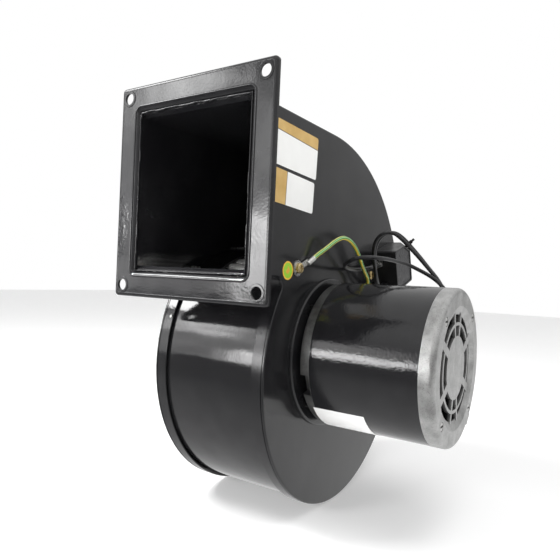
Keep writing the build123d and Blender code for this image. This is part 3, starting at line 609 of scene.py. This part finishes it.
archRoute = [
    (8.5, 107.9, 63.2), (8.5, 93.6, 58.6), (10.5, 79.8, 60.2), (12.5, 67.8, 69.5),
    (13.5, 60.4, 80.5), (15.0, 52.6, 89.9), (17.0, 47.5, 98.9), (21.0, 45.4, 107.2),
    (27.3, 45.5, 112.0), (35.7, 49.2, 112.9), (42.6, 52.6, 107.4), (51.0, 57.0, 97.9),
    (59.0, 59.8, 89.1), (67.0, 62.2, 79.6), (74.8, 62.9, 71.1), (81.0, 61.9, 62.4),
    (87.0, 59.9, 46.8), (87.0, 48.0, 37.5),
]
backRoute = [
    (3.8, 107.9, 63.2), (3.8, 95.5, 59.2), (5.2, 85.8, 60.2), (8.8, 74.6, 69.0),
    (11.8, 65.6, 80.0), (13.3, 60.2, 90.3), (15.2, 55.6, 99.0), (19.0, 54.6, 107.0),
    (25.0, 54.4, 112.3), (33.2, 58.2, 114.2), (40.4, 62.4, 109.4), (48.6, 67.0, 99.5),
    (56.0, 71.2, 90.2), (63.5, 74.6, 80.2), (70.3, 79.0, 71.4), (76.5, 78.3, 62.3),
    (82.0, 69.3, 48.6), (86.0, 66.8, 34.0), (86.0, 54.4, 27.7),
]


def smoothLine(name, route):
    # Points along the route's smooth line, read from a curve with no thickness
    curve = bpy.data.curves.new(name, "CURVE")
    curve.dimensions = "3D"
    curve.resolution_u = wireSet["steps"]
    spline = curve.splines.new("NURBS")
    spline.points.add(len(route) - 1)
    for point, place in zip(spline.points, route):
        point.co = (*place, 1.0)
    spline.order_u = 3
    spline.use_endpoint_u = True
    holder = bpy.data.objects.new(name, curve)
    bpy.context.scene.collection.objects.link(holder)
    seen = bpy.context.evaluated_depsgraph_get()
    seen.update()
    line = bpy.data.meshes.new_from_object(holder.evaluated_get(seen))
    points = [v.co.copy() for v in line.vertices]
    bpy.data.objects.remove(holder)
    bpy.data.meshes.remove(line)
    return points


def framesAlong(points, side):
    # A pair of cross directions at each point, carried along without twist
    frames = []
    for i, point in enumerate(points):
        before = points[max(i - 1, 0)]
        after = points[min(i + 1, len(points) - 1)]
        ahead = (after - before).normalized()
        side = (side - side.dot(ahead) * ahead).normalized()
        frames.append((point, side, ahead.cross(side)))
    return frames


def tubeAlong(name, points, radius, sides):
    # A round tube with a map of its own: U in metres along it, V round it
    shape = bmesh.new()
    ownMap = shape.loops.layers.uv.new("wireMap")
    rings = []
    travelled = [0.0]
    for a, b in zip(points, points[1:]):
        travelled.append(travelled[-1] + (b - a).length)
    for point, side, up in framesAlong(points, Vector((0, 0, 1))):
        ring = []
        for j in range(sides):
            turn = 2 * math.pi * j / sides
            out = math.cos(turn) * side + math.sin(turn) * up
            ring.append(shape.verts.new(point + radius * out))
        rings.append(ring)
    for i in range(len(rings) - 1):
        for j in range(sides):
            k = (j + 1) % sides
            near, far = rings[i], rings[i + 1]
            face = shape.faces.new((near[j], near[k], far[k], far[j]))
            corners = ((i, j), (i, j + 1), (i + 1, j + 1), (i + 1, j))
            for loop, (station, around) in zip(face.loops, corners):
                loop[ownMap].uv = (travelled[station], around / sides)
    shape.faces.new(list(reversed(rings[0])))
    shape.faces.new(rings[-1])
    bmesh.ops.recalc_face_normals(shape, faces=shape.faces)
    mesh = bpy.data.meshes.new(name)
    shape.to_mesh(mesh)
    shape.free()
    mesh.shade_smooth()
    return mesh, travelled[-1]


def makeWire(name, route, node, material):
    places = [(seatX + x * mm, axisY + y * mm, axisZ + z * mm) for x, y, z in route]
    points = smoothLine(name + "Line", places)
    mesh, length = tubeAlong(name, points, wireSet["diameter"] / 2, wireSet["sides"])
    wire = addPiece(name, mesh, material)
    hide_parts(node)
    print(name, "is", round(length * 1000), "mm long")
    return points


makeWire("groundWire", groundRoute, "ground_wire", greenJacket)
makeWire("loopLead", loopRoute, "loop_lead", blackJacket)
archLine = makeWire("archLead", archRoute, "arch_lead", blackJacket)
backLine = makeWire("backLead", backRoute, "back_lead", blackJacket)


# Tie round the arch lead and the lead beside it, with its head and a cut tail

tie = {
    "near": (0.1070, 0.1933, -0.0290),
    "width": 0.0024,
    "thickness": 0.0009,
    "headSize": (0.0042, 0.0034, 0.0030),
    "headBevel": 0.0004,
    "tailSize": (0.0008, 0.0022, 0.0030),
    "tailRise": 0.0042,
    "tailShift": 0.0012,
    "corners": 40,
}


def makeTie():
    aim = Vector(tie["near"])
    i = min(range(len(archLine)), key=lambda k: (archLine[k] - aim).length)
    first = archLine[i]
    second = min(backLine, key=lambda p: (p - first).length)
    ahead = (archLine[i + 1] - archLine[i - 1]).normalized()
    across = second - first
    across -= across.dot(ahead) * ahead
    half = across.length / 2
    middle = first + across / 2
    across.normalize()
    out = ahead.cross(across)
    if out.z < 0:
        out = -out
    inner = wireSet["diameter"] / 2
    outer = inner + tie["thickness"]

    def build(shape):
        rings = []
        for radius, step in ((inner, -0.5), (inner, 0.5), (outer, 0.5), (outer, -0.5)):
            ring = []
            for k in range(tie["corners"]):
                turn = 2 * math.pi * k / tie["corners"]
                reach = half if math.cos(turn) > 0 else -half
                spot = middle + step * tie["width"] * ahead
                spot += (reach + radius * math.cos(turn)) * across
                spot += radius * math.sin(turn) * out
                ring.append(shape.verts.new(spot))
            rings.append(ring)
        closeRings(shape, rings)
        turn = Matrix((across, ahead, out)).transposed().to_4x4()
        head = Matrix.Translation(middle + out * (inner + tie["headSize"][2] / 2)) @ turn
        bevelledBlock(shape, head, tie["headSize"], tie["headBevel"])
        tailPlace = middle + out * (inner + tie["tailRise"]) + across * tie["tailShift"]
        tail = Matrix.Translation(tailPlace) @ turn @ Matrix.Diagonal((*tie["tailSize"], 1))
        bmesh.ops.create_cube(shape, size=1.0, matrix=tail)

    addPiece("leadTie", meshFrom("leadTie", build, smooth=False), casePlastic)


makeTie()
print("wires and tie made")


# Wheel. One blade is copied round the shaft by a node tree; a channel ring closes the inlet ends.

blades = {
    "count": 40,
    "x": (-0.0322, 0.0470),
    "sheet": 0.0008,
    "curlRadius": 0.0046,
    "curlCentre": 0.0803,
    "curlTurn": (-90, 105),
    "curlSteps": 14,
    "tail": ((0.0672, -0.0006), (0.0712, -0.0028), (0.0754, -0.0042), (0.0786, -0.0046)),
}

endRing = {
    "radii": (0.0660, 0.0860),
    "x": (-0.0330, -0.0292),
    "sheet": 0.0009,
    "edge": 0.0008,
    "easing": 0.3,
    "steps": 144,
}
wheelSharp = 35  # degrees from which an edge stays sharp


def bladeSection():
    # Middle line of the blade's section, as (distance from the shaft, sideways)
    line = list(blades["tail"])
    for k in range(blades["curlSteps"] + 1):
        low, high = blades["curlTurn"]
        turn = math.radians(low + (high - low) * k / blades["curlSteps"])
        reach = blades["curlRadius"]
        line.append((blades["curlCentre"] + reach * math.cos(turn), reach * math.sin(turn)))
    return [Vector(p) for p in line]


def buildBlade(shape):
    line = bladeSection()
    sides = []
    for step in (-0.5, 0.5):
        side = []
        for i, point in enumerate(line):
            ahead = (line[min(i + 1, len(line) - 1)] - line[max(i - 1, 0)]).normalized()
            side.append(point + step * blades["sheet"] * Vector((-ahead.y, ahead.x)))
        sides.append(side)
    outline = sides[0] + list(reversed(sides[1]))
    ends = [[shape.verts.new((x, p.x, p.y)) for p in outline] for x in blades["x"]]
    count = len(outline)
    for k in range(count):
        m = (k + 1) % count
        shape.faces.new((ends[0][k], ends[0][m], ends[1][m], ends[1][k]))
    half = count // 2
    for end in ends:
        for k in range(half - 1):
            shape.faces.new((end[k], end[k + 1], end[count - 2 - k], end[count - 1 - k]))


def ringTree():
    # Copies the incoming shape round the X axis and moves the ring to its centre
    tree = bpy.data.node_groups.new("ringOfCopies", "GeometryNodeTree")
    for name, kind in (
        ("Geometry", "Geometry"), ("Count", "Int"), ("Centre", "Vector"), ("Finish", "Material"),
    ):
        tree.interface.new_socket(name, in_out="INPUT", socket_type="NodeSocket" + kind)
    tree.interface.new_socket("Geometry", in_out="OUTPUT", socket_type="NodeSocketGeometry")
    given = tree.nodes.new("NodeGroupInput")
    result = tree.nodes.new("NodeGroupOutput")
    points = tree.nodes.new("GeometryNodePoints")
    number = tree.nodes.new("GeometryNodeInputIndex")
    share = tree.nodes.new("ShaderNodeMath")
    share.operation = "DIVIDE"
    turn = tree.nodes.new("ShaderNodeMath")
    turn.operation = "MULTIPLY"
    turn.inputs[1].default_value = 2 * math.pi
    angles = tree.nodes.new("ShaderNodeCombineXYZ")
    copies = tree.nodes.new("GeometryNodeInstanceOnPoints")
    solid = tree.nodes.new("GeometryNodeRealizeInstances")
    finish = tree.nodes.new("GeometryNodeSetMaterial")
    for start, end in (
        (given.outputs["Count"], points.inputs["Count"]),
        (given.outputs["Centre"], points.inputs["Position"]),
        (number.outputs["Index"], share.inputs[0]),
        (given.outputs["Count"], share.inputs[1]),
        (share.outputs["Value"], turn.inputs[0]),
        (turn.outputs["Value"], angles.inputs["X"]),
        (points.outputs["Points"], copies.inputs["Points"]),
        (given.outputs["Geometry"], copies.inputs["Instance"]),
        (angles.outputs["Vector"], copies.inputs["Rotation"]),
        (copies.outputs["Instances"], solid.inputs["Geometry"]),
        (solid.outputs["Geometry"], finish.inputs["Geometry"]),
        (given.outputs["Finish"], finish.inputs["Material"]),
        (finish.outputs["Geometry"], result.inputs["Geometry"]),
    ):
        tree.links.new(start, end)
    return tree


def ringOfCopies(name, mesh, count, centre, material):
    # A plain mesh of all the copies
    holder = bpy.data.objects.new(name + "Source", mesh)
    bpy.context.scene.collection.objects.link(holder)
    modifier = holder.modifiers.new("copies", "NODES")
    tree = ringTree()
    modifier.node_group = tree
    values = {"Count": count, "Centre": centre, "Finish": material}
    for socket in tree.interface.items_tree:
        if socket.in_out == "INPUT" and socket.name in values:
            modifier[socket.identifier] = values[socket.name]
    seen = bpy.context.evaluated_depsgraph_get()
    seen.update()
    copied = bpy.data.meshes.new_from_object(holder.evaluated_get(seen), depsgraph=seen)
    copied.name = name
    holder.modifiers.remove(modifier)
    bpy.data.objects.remove(holder)
    return copied


def latheRound(name, profile, steps):
    # A closed (x, radius) profile turned about the wheel's axis
    def build(shape):
        rings = []
        for k in range(steps):
            turn = 2 * math.pi * k / steps
            rings.append([
                shape.verts.new((x, axisY + r * math.cos(turn), axisZ + r * math.sin(turn)))
                for x, r in profile
            ])
        closeRings(shape, rings)

    return meshFrom(name, build)


def makeWheel():
    blade = meshFrom("bladeShape", buildBlade, smooth=False)
    mesh = ringOfCopies("wheelBlades", blade, blades["count"], (0, axisY, axisZ), bladeMetal)
    piece = addPiece("wheelBlades", mesh, bladeMetal, "rotor")
    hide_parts("wheel_blades")
    inner, outer = endRing["radii"]
    low, high = endRing["x"]
    sheet = endRing["sheet"]
    edge = endRing["edge"]
    eased = endRing["easing"] * edge
    profile = (
        (low, inner),
        (low, outer - edge),
        (low + eased, outer - eased),
        (low + edge, outer),
        (high - eased, outer),
        (high, outer - eased),
        (high, outer - sheet),
        (low + sheet, outer - sheet),
        (low + sheet, inner),
    )
    ringMesh = latheRound("wheelRing", profile, endRing["steps"])
    ring = addPiece("wheelRing", ringMesh, sheetDark, "rotor")
    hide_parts("wheel_end_ring")
    for part in (piece, ring):
        part.data.set_sharp_from_angle(angle=math.radians(wheelSharp))


makeWheel()
print("wheel made")


# Blank stickers: two on the motor side plate, a dot by the ground screw, a plate on the motor

stickers = {
    "plateFace": 0.0575,
    "thickness": 0.00018,
    "lift": 0.00004,
    "cornerRadius": 0.0022,
    "cornerSteps": 5,
    "upper": ((0.0319, 0.0558), (0.0974, 0.0543), (0.0956, 0.0185), (0.0315, 0.0208)),
    "lower": ((0.0314, 0.0184), (0.0936, 0.0154), (0.0922, -0.0108), (0.0313, -0.0081)),
}

namePlate = {
    "x": (0.0730, 0.1178),
    "turn": (-141.5, -93.0),
    "thickness": 0.00018,
    "lift": 0.00006,
    "steps": 24,
}


def roundedCorners(corners, radius, steps):
    # The outline's points with each corner turned into a small curve
    points = []
    for i, corner in enumerate(corners):
        here = Vector(corner)
        before = (Vector(corners[i - 1]) - here).normalized() * radius + here
        after = (Vector(corners[(i + 1) % len(corners)]) - here).normalized() * radius + here
        for k in range(steps + 1):
            t = k / steps
            points.append((1 - t) ** 2 * before + 2 * t * (1 - t) * here + t ** 2 * after)
    return points


def sheetOnPlate(name, outline, material):
    low = stickers["plateFace"] + stickers["lift"]
    high = low + stickers["thickness"]

    def build(shape):
        under = [shape.verts.new((low, p[0], p[1])) for p in outline]
        over = [shape.verts.new((high, p[0], p[1])) for p in outline]
        shape.faces.new(under)
        shape.faces.new(over)
        for k in range(len(outline)):
            m = (k + 1) % len(outline)
            shape.faces.new((under[k], under[m], over[m], over[k]))

    addPiece(name, meshFrom(name, build, smooth=False), material)


def makeNamePlate():
    low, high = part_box("motor_shell")
    radius = (high[2] - low[2]) / 2 + namePlate["lift"]
    steps = namePlate["steps"]
    start, end = namePlate["turn"]

    def build(shape):
        rows = []
        for depth in (0.0, namePlate["thickness"]):
            for x in namePlate["x"]:
                row = []
                out = radius + depth
                for k in range(steps + 1):
                    turn = math.radians(start + (end - start) * k / steps)
                    y = axisY + out * math.cos(turn)
                    z = axisZ + out * math.sin(turn)
                    row.append(shape.verts.new((x, y, z)))
                rows.append(row)
        for a, b in ((0, 1), (1, 3), (3, 2), (2, 0)):
            for k in range(steps):
                shape.faces.new((rows[a][k], rows[a][k + 1], rows[b][k + 1], rows[b][k]))
        for k in (0, steps):
            shape.faces.new((rows[0][k], rows[1][k], rows[3][k], rows[2][k]))

    addPiece("namePlate", meshFrom("namePlate", build, smooth=False), paperPlate)


for side, paper in (("upper", paperUpper), ("lower", paperLower)):
    rounded = roundedCorners(stickers[side], stickers["cornerRadius"], stickers["cornerSteps"])
    sheetOnPlate(side + "Label", rounded, paper)
dotTurns = [2 * math.pi * k / dot["corners"] for k in range(dot["corners"])]
dotRim = [dot["radius"] * Vector((math.cos(turn), math.sin(turn))) for turn in dotTurns]
sheetOnPlate("dotSticker", [Vector(dot["centre"]) + point for point in dotRim], dotVinyl)
makeNamePlate()
print("stickers made")


# Hand-crimped edge of the duct inside the flange's lip, wavy, with doubled tabs here and there

# Each noise is (scale, seed). Rows of frontProfile are (share of the thickness, added reach,
# added depth).
crimp = {
    "y": (0.0014, 0.0036),
    "halfWidth": 0.0576,
    "halfHeight": 0.0655,
    "waveNoise": (160, 7.3),
    "wave": 0.00022,
    "frontWave": 0.0003,
    "thickness": 0.0009,
    "tabNoise": (60, 10.3),
    "tabAbove": 0.22,
    "tabGrowth": 0.0007,
    "step": 0.0018,
    "frontProfile": (
        (0.0, -0.0001, 0.0004),
        (0.3, 0.0, 0.0),
        (0.75, 0.0, 0.0001),
        (1.0, 0.0, 0.0006),
    ),
}


def crimpRing(shape, x, z, inX, inZ):
    # The edge's profile at one spot, reaching inwards
    wave, tab = (
        noise.noise(Vector((x * scale, z * scale, seed)))
        for scale, seed in (crimp["waveNoise"], crimp["tabNoise"])
    )
    thick = crimp["thickness"] + (crimp["tabGrowth"] if tab > crimp["tabAbove"] else 0.0)
    start = crimp["wave"] * wave
    front, back = crimp["y"]
    front += crimp["frontWave"] * wave
    profile = [(start, back)]
    for share, reach, depth in crimp["frontProfile"]:
        profile.append((start + share * thick + reach, front + depth))
    profile.append((start + thick, back))
    return [shape.verts.new((x + inX * reach, y, z + inZ * reach)) for reach, y in profile]


def makeCrimp():
    halfX = crimp["halfWidth"]
    halfZ = crimp["halfHeight"]
    corners = [(-halfX, halfZ), (halfX, halfZ), (halfX, -halfZ), (-halfX, -halfZ)]

    def build(shape):
        rings = []
        for i, (x, z) in enumerate(corners):
            nextX, nextZ = corners[(i + 1) % 4]
            length = math.hypot(nextX - x, nextZ - z)
            alongX = (nextX - x) / length
            alongZ = (nextZ - z) / length
            count = int(length / crimp["step"])
            for k in range(count):
                far = k / count * length
                # Inwards is to the right of the way round
                rings.append(crimpRing(shape, x + alongX * far, z + alongZ * far, alongZ, -alongX))
        closeRings(shape, rings)

    addPiece("crimpedEdge", meshFrom("crimpedEdge", build), enamel)


makeCrimp()


# Rivet through the inlet plate's rim, and the lug on the far side of the rear bell

rivet = {
    "place": (-0.0479, 0.0370, -0.1042),
    "out": (0.0, -0.95, 0.31),
    "size": (0.0022, 0.0022, 0.0011),
    "sides": (24, 12),
}
lug = {
    "turn": -48,
    "x": (0.1620, 0.1735),
    "reach": (0.0620, 0.0680),
    "width": 0.0130,
    "bevel": 0.0008,
}


def makeRivet():
    # A flattened ball, built row by row so that its faces keep their order from run to run
    out = Vector(rivet["out"]).normalized()
    turned = out.to_track_quat("Z", "Y").to_matrix().to_4x4()
    place = Matrix.Translation(rivet["place"]) @ turned @ Matrix.Diagonal((*rivet["size"], 1))
    around, along = rivet["sides"]

    def build(shape):
        poles = [shape.verts.new(place @ Vector((0, 0, z))) for z in (1, -1)]
        rings = []
        for row in range(1, along):
            fall = math.pi * row / along
            ring = []
            for k in range(around):
                turn = 2 * math.pi * k / around
                spot = Vector((math.cos(turn), math.sin(turn), 0)) * math.sin(fall)
                spot.z = math.cos(fall)
                ring.append(shape.verts.new(place @ spot))
            rings.append(ring)
        for k in range(around):
            m = (k + 1) % around
            for pole, ring in zip(poles, (rings[0], rings[-1])):
                shape.faces.new((pole, ring[k], ring[m]))
            for near, far in zip(rings, rings[1:]):
                shape.faces.new((near[k], near[m], far[m], far[k]))

    addPiece("rimRivet", meshFrom("rimRivet", build), zinc)


def makeLug():
    turn = math.radians(lug["turn"])
    along = Vector((1, 0, 0))
    out = Vector((0, math.cos(turn), math.sin(turn)))
    low, high = lug["x"]
    near, far = lug["reach"]
    centre = Vector(((low + high) / 2, axisY, axisZ)) + out * (near + far) / 2
    turned = Matrix((along, out, along.cross(out))).transposed().to_4x4()
    size = (high - low, far - near, lug["width"])

    def build(shape):
        bevelledBlock(shape, Matrix.Translation(centre) @ turned, size, lug["bevel"])

    addPiece("bellLug", meshFrom("bellLug", build, smooth=False), castMetal)


makeRivet()
makeLug()


# The wrapper as it is, but with its mouth spread to meet the flange, so that no step shows inside

mouth = {"depth": 0.0050, "hinge": 0.0072, "spread": 0.0024, "weld": 1e-6}


def spreadMouth():
    mesh = cadNodes["scroll_wrapper"].data.copy()
    mesh.name = "spreadWrapper"
    shape = bmesh.new()
    shape.from_mesh(mesh)
    bmesh.ops.remove_doubles(shape, verts=shape.verts, dist=mouth["weld"])
    everything = shape.verts[:] + shape.edges[:] + shape.faces[:]
    hinge = (0, mouth["hinge"], 0)
    bmesh.ops.bisect_plane(shape, geom=everything, plane_co=hinge, plane_no=(0, 1, 0))
    for vertex in shape.verts:
        if vertex.co.y < mouth["depth"]:
            vertex.co.z += math.copysign(mouth["spread"], vertex.co.z)
    shape.to_mesh(mesh)
    shape.free()
    piece = addPiece("spreadWrapper", mesh, enamel)
    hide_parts("scroll_wrapper")


spreadMouth()


# Rolled beads on the flange: one round the lip of the opening, one just inside the outer edge

beads = {
    "lip": {"half": (0.0618, 0.0698), "corner": 0.0062, "width": 0.0020, "height": 0.0007},
    "outer": {"half": (0.0764, 0.0844), "corner": 0.0030, "width": 0.0010, "height": 0.00022},
}
beadSteps = {"corner": 10, "profile": 6}
beadSink = 0.0001


def makeBead(name, bead):
    halfX, halfZ = bead["half"]
    radius = bead["corner"]
    path = []
    for quarter, (signX, signZ) in enumerate(((1, 1), (-1, 1), (-1, -1), (1, -1))):
        for k in range(beadSteps["corner"] + 1):
            turn = math.radians(90 * quarter + 90 * k / beadSteps["corner"])
            x = signX * (halfX - radius) + radius * math.cos(turn)
            z = signZ * (halfZ - radius) + radius * math.sin(turn)
            path.append((x, z, math.cos(turn), math.sin(turn)))

    def build(shape):
        rings = []
        for x, z, outX, outZ in path:
            ring = []
            for k in range(beadSteps["profile"] + 1):
                turn = math.pi * k / beadSteps["profile"]
                aside = math.cos(turn) * bead["width"] / 2
                ring.append(shape.verts.new((
                    x + aside * outX,
                    beadSink - bead["height"] * math.sin(turn),
                    z + aside * outZ,
                )))
            rings.append(ring)
        closeRings(shape, rings)

    addPiece(name + "Bead", meshFrom(name + "Bead", build), enamel)


for name, bead in beads.items():
    makeBead(name, bead)
print("crimped edge, mouth and beads made")


# Floor, world and studio light

studio = {
    "floorDrop": 0.0006,
    "floorSize": 8.0,
    "floorShade": 0.86,
    "floorGlow": 0.3,
    "floorGlowToLight": 0.5,
    "floorInGloss": (-0.30, 0.22, 0.30, 1.0),
    "lightLevel": 0.55,
    "skyRange": (-0.15, 0.75),
    "skyShine": (0.35, 1.0),
    "cloudRange": (0.38, 0.64),
    "aim": (0.03, 0.11, -0.09),
}

# Soft panels seen in the gloss only: turn to the left of the outlet's own direction, and rise,
# in degrees, with half their spread, the share that is even, their strength, and how far clouds
# eat into them and how fine these are
panelParts = ("turn", "rise", "halfTurn", "halfRise", "core", "strength", "cloud", "cloudScale")
panels = [dict(zip(panelParts, row)) for row in (
    (27, 1, 13, 7, 0.6, 19, 0.55, 22),
    (29, 9, 12, 13, 0.5, 3.2, 0.5, 14),
    (43.5, 20, 7, 8, 0.4, 11, 0.85, 16),
    (47, 9, 10, 15, 0.7, 2.1, 0.4, 12),
    (56, 32, 9, 6, 0.8, 22, 0.2, 8),
    (5, 8, 4, 20, 0.3, 5, 0.4, 10),
)]

# Lamps that light the object and don't show in its gloss
softboxes = {
    "keyPanel": {"towards": (-0.55, -0.42, 0.72), "far": 1.2, "size": (0.5, 0.35), "power": 14},
    "frontPanel": {"towards": (-0.30, -0.90, 0.28), "far": 1.5, "size": (0.3, 0.3), "power": 7},
    "topPanel": {"towards": (0.35, -0.25, 1.0), "far": 1.4, "size": (0.9, 0.6), "power": 8},
}

# A narrow lamp that looks into the outlet, so that the wheel shows
outletSpot = {
    "place": (-0.495, -0.54, 0.35),
    "aim": (0.030, 0.10, -0.075),
    "width": 8,
    "blend": 0.6,
    "softness": 0.05,
    "power": 110,
}


def makeWorld():
    world = bpy.data.worlds.new("studioWorld")
    bpy.context.scene.world = world
    world.use_nodes = True
    world.node_tree.nodes.clear()
    sky = NodeWork(world.node_tree, "Generated")
    rays = sky.node("LightPath").outputs

    # What gloss sees: white overhead, a dim room low down, and soft panels on the left
    x, y, z = sky.axes()
    turned = sky.math("ARCTAN2", sky.math("MULTIPLY", x, -1.0), sky.math("MULTIPLY", y, -1.0))
    rise = sky.math("ARCSINE", z)
    total = sky.ramp(z, *studio["skyRange"], *studio["skyShine"], smooth=True)
    for panel in panels:
        glow = None
        for value, place, half, peak in (
            (turned, "turn", "halfTurn", panel["strength"]), (rise, "rise", "halfRise", 1.0),
        ):
            away = sky.math("SUBTRACT", value, math.radians(panel[place]))
            share = sky.math("ABSOLUTE", sky.math("DIVIDE", away, math.radians(panel[half])))
            part = sky.ramp(share, panel["core"], 1.0, peak, 0.0, smooth=True)
            glow = part if glow is None else sky.math("MULTIPLY", glow, part)
        cloud = sky.cloud(panel["cloudScale"], detail=4.0)
        left = sky.ramp(cloud, *studio["cloudRange"], 1 - panel["cloud"], 1.0, smooth=True)
        total = sky.math("ADD", total, sky.math("MULTIPLY", glow, left))

    # The camera and what looks through glass see plain white
    seen = sky.math("MAXIMUM", rays["Is Camera Ray"], rays["Is Transmission Ray"])
    light = sky.shining("Background", studio["lightLevel"])
    shine = sky.shining("Background", total)
    white = sky.shining("Background", 1.0)
    surface = sky.mixed(seen, sky.mixed(rays["Is Glossy Ray"], light, shine), white)
    sky.link(surface, sky.node("OutputWorld").inputs["Surface"])


def makeFloor():
    half = studio["floorSize"] / 2
    level = cadBox[0][2] - studio["floorDrop"]
    corners = [(x * half, y * half, level) for x, y in ((-1, -1), (1, -1), (1, 1), (-1, 1))]
    mesh = bpy.data.meshes.new("floor")
    mesh.from_pydata(corners, [], [(0, 1, 2, 3)])
    floor = bpy.data.objects.new("floor", mesh)
    bpy.context.scene.collection.objects.link(floor)
    ground = Finish("paleFloor", (studio["floorShade"],) * 3, 0.9)
    rays = ground.node("LightPath").outputs
    pale = ground.shader.outputs[0]
    toCamera = ground.added(pale, ground.shining("Emission", studio["floorGlow"]))
    toLight = ground.added(pale, ground.shining("Emission", studio["floorGlowToLight"]))
    plain = ground.mixed(rays["Is Camera Ray"], toLight, toCamera)

    # In the gloss the floor is dim in front and lighter behind
    y = ground.axes()[1]
    mirrored = ground.shining("Emission", ground.ramp(y, *studio["floorInGloss"]))
    surface = ground.mixed(rays["Is Glossy Ray"], plain, mirrored)
    ground.link(surface, ground.tree.nodes["Material Output"].inputs["Surface"])
    mesh.materials.append(ground.material)


def aimLamp(name, lamp, place, aim):
    holder = bpy.data.objects.new(name, lamp)
    turn = (place - aim).to_track_quat("Z", "Y").to_matrix().to_4x4()
    holder.matrix_world = Matrix.Translation(place) @ turn
    bpy.context.scene.collection.objects.link(holder)
    return holder


def addSoftbox(name, box):
    # A soft panel in a direction from the object, facing it
    lamp = bpy.data.lights.new(name, "AREA")
    lamp.shape = "RECTANGLE"
    lamp.size, lamp.size_y = box["size"]
    lamp.energy = box["power"]
    aim = Vector(studio["aim"])
    place = aim + Vector(box["towards"]).normalized() * box["far"]
    aimLamp(name, lamp, place, aim).visible_glossy = False


def addOutletSpot():
    lamp = bpy.data.lights.new("outletSpot", "SPOT")
    lamp.energy = outletSpot["power"]
    lamp.spot_size = math.radians(outletSpot["width"])
    lamp.spot_blend = outletSpot["blend"]
    lamp.shadow_soft_size = outletSpot["softness"]
    aimLamp("outletSpot", lamp, Vector(outletSpot["place"]), Vector(outletSpot["aim"]))


makeWorld()
makeFloor()
for name, box in softboxes.items():
    addSoftbox(name, box)
addOutletSpot()
print("studio made")

bpy.context.scene.view_settings.view_transform = "Standard"

print("scene made")
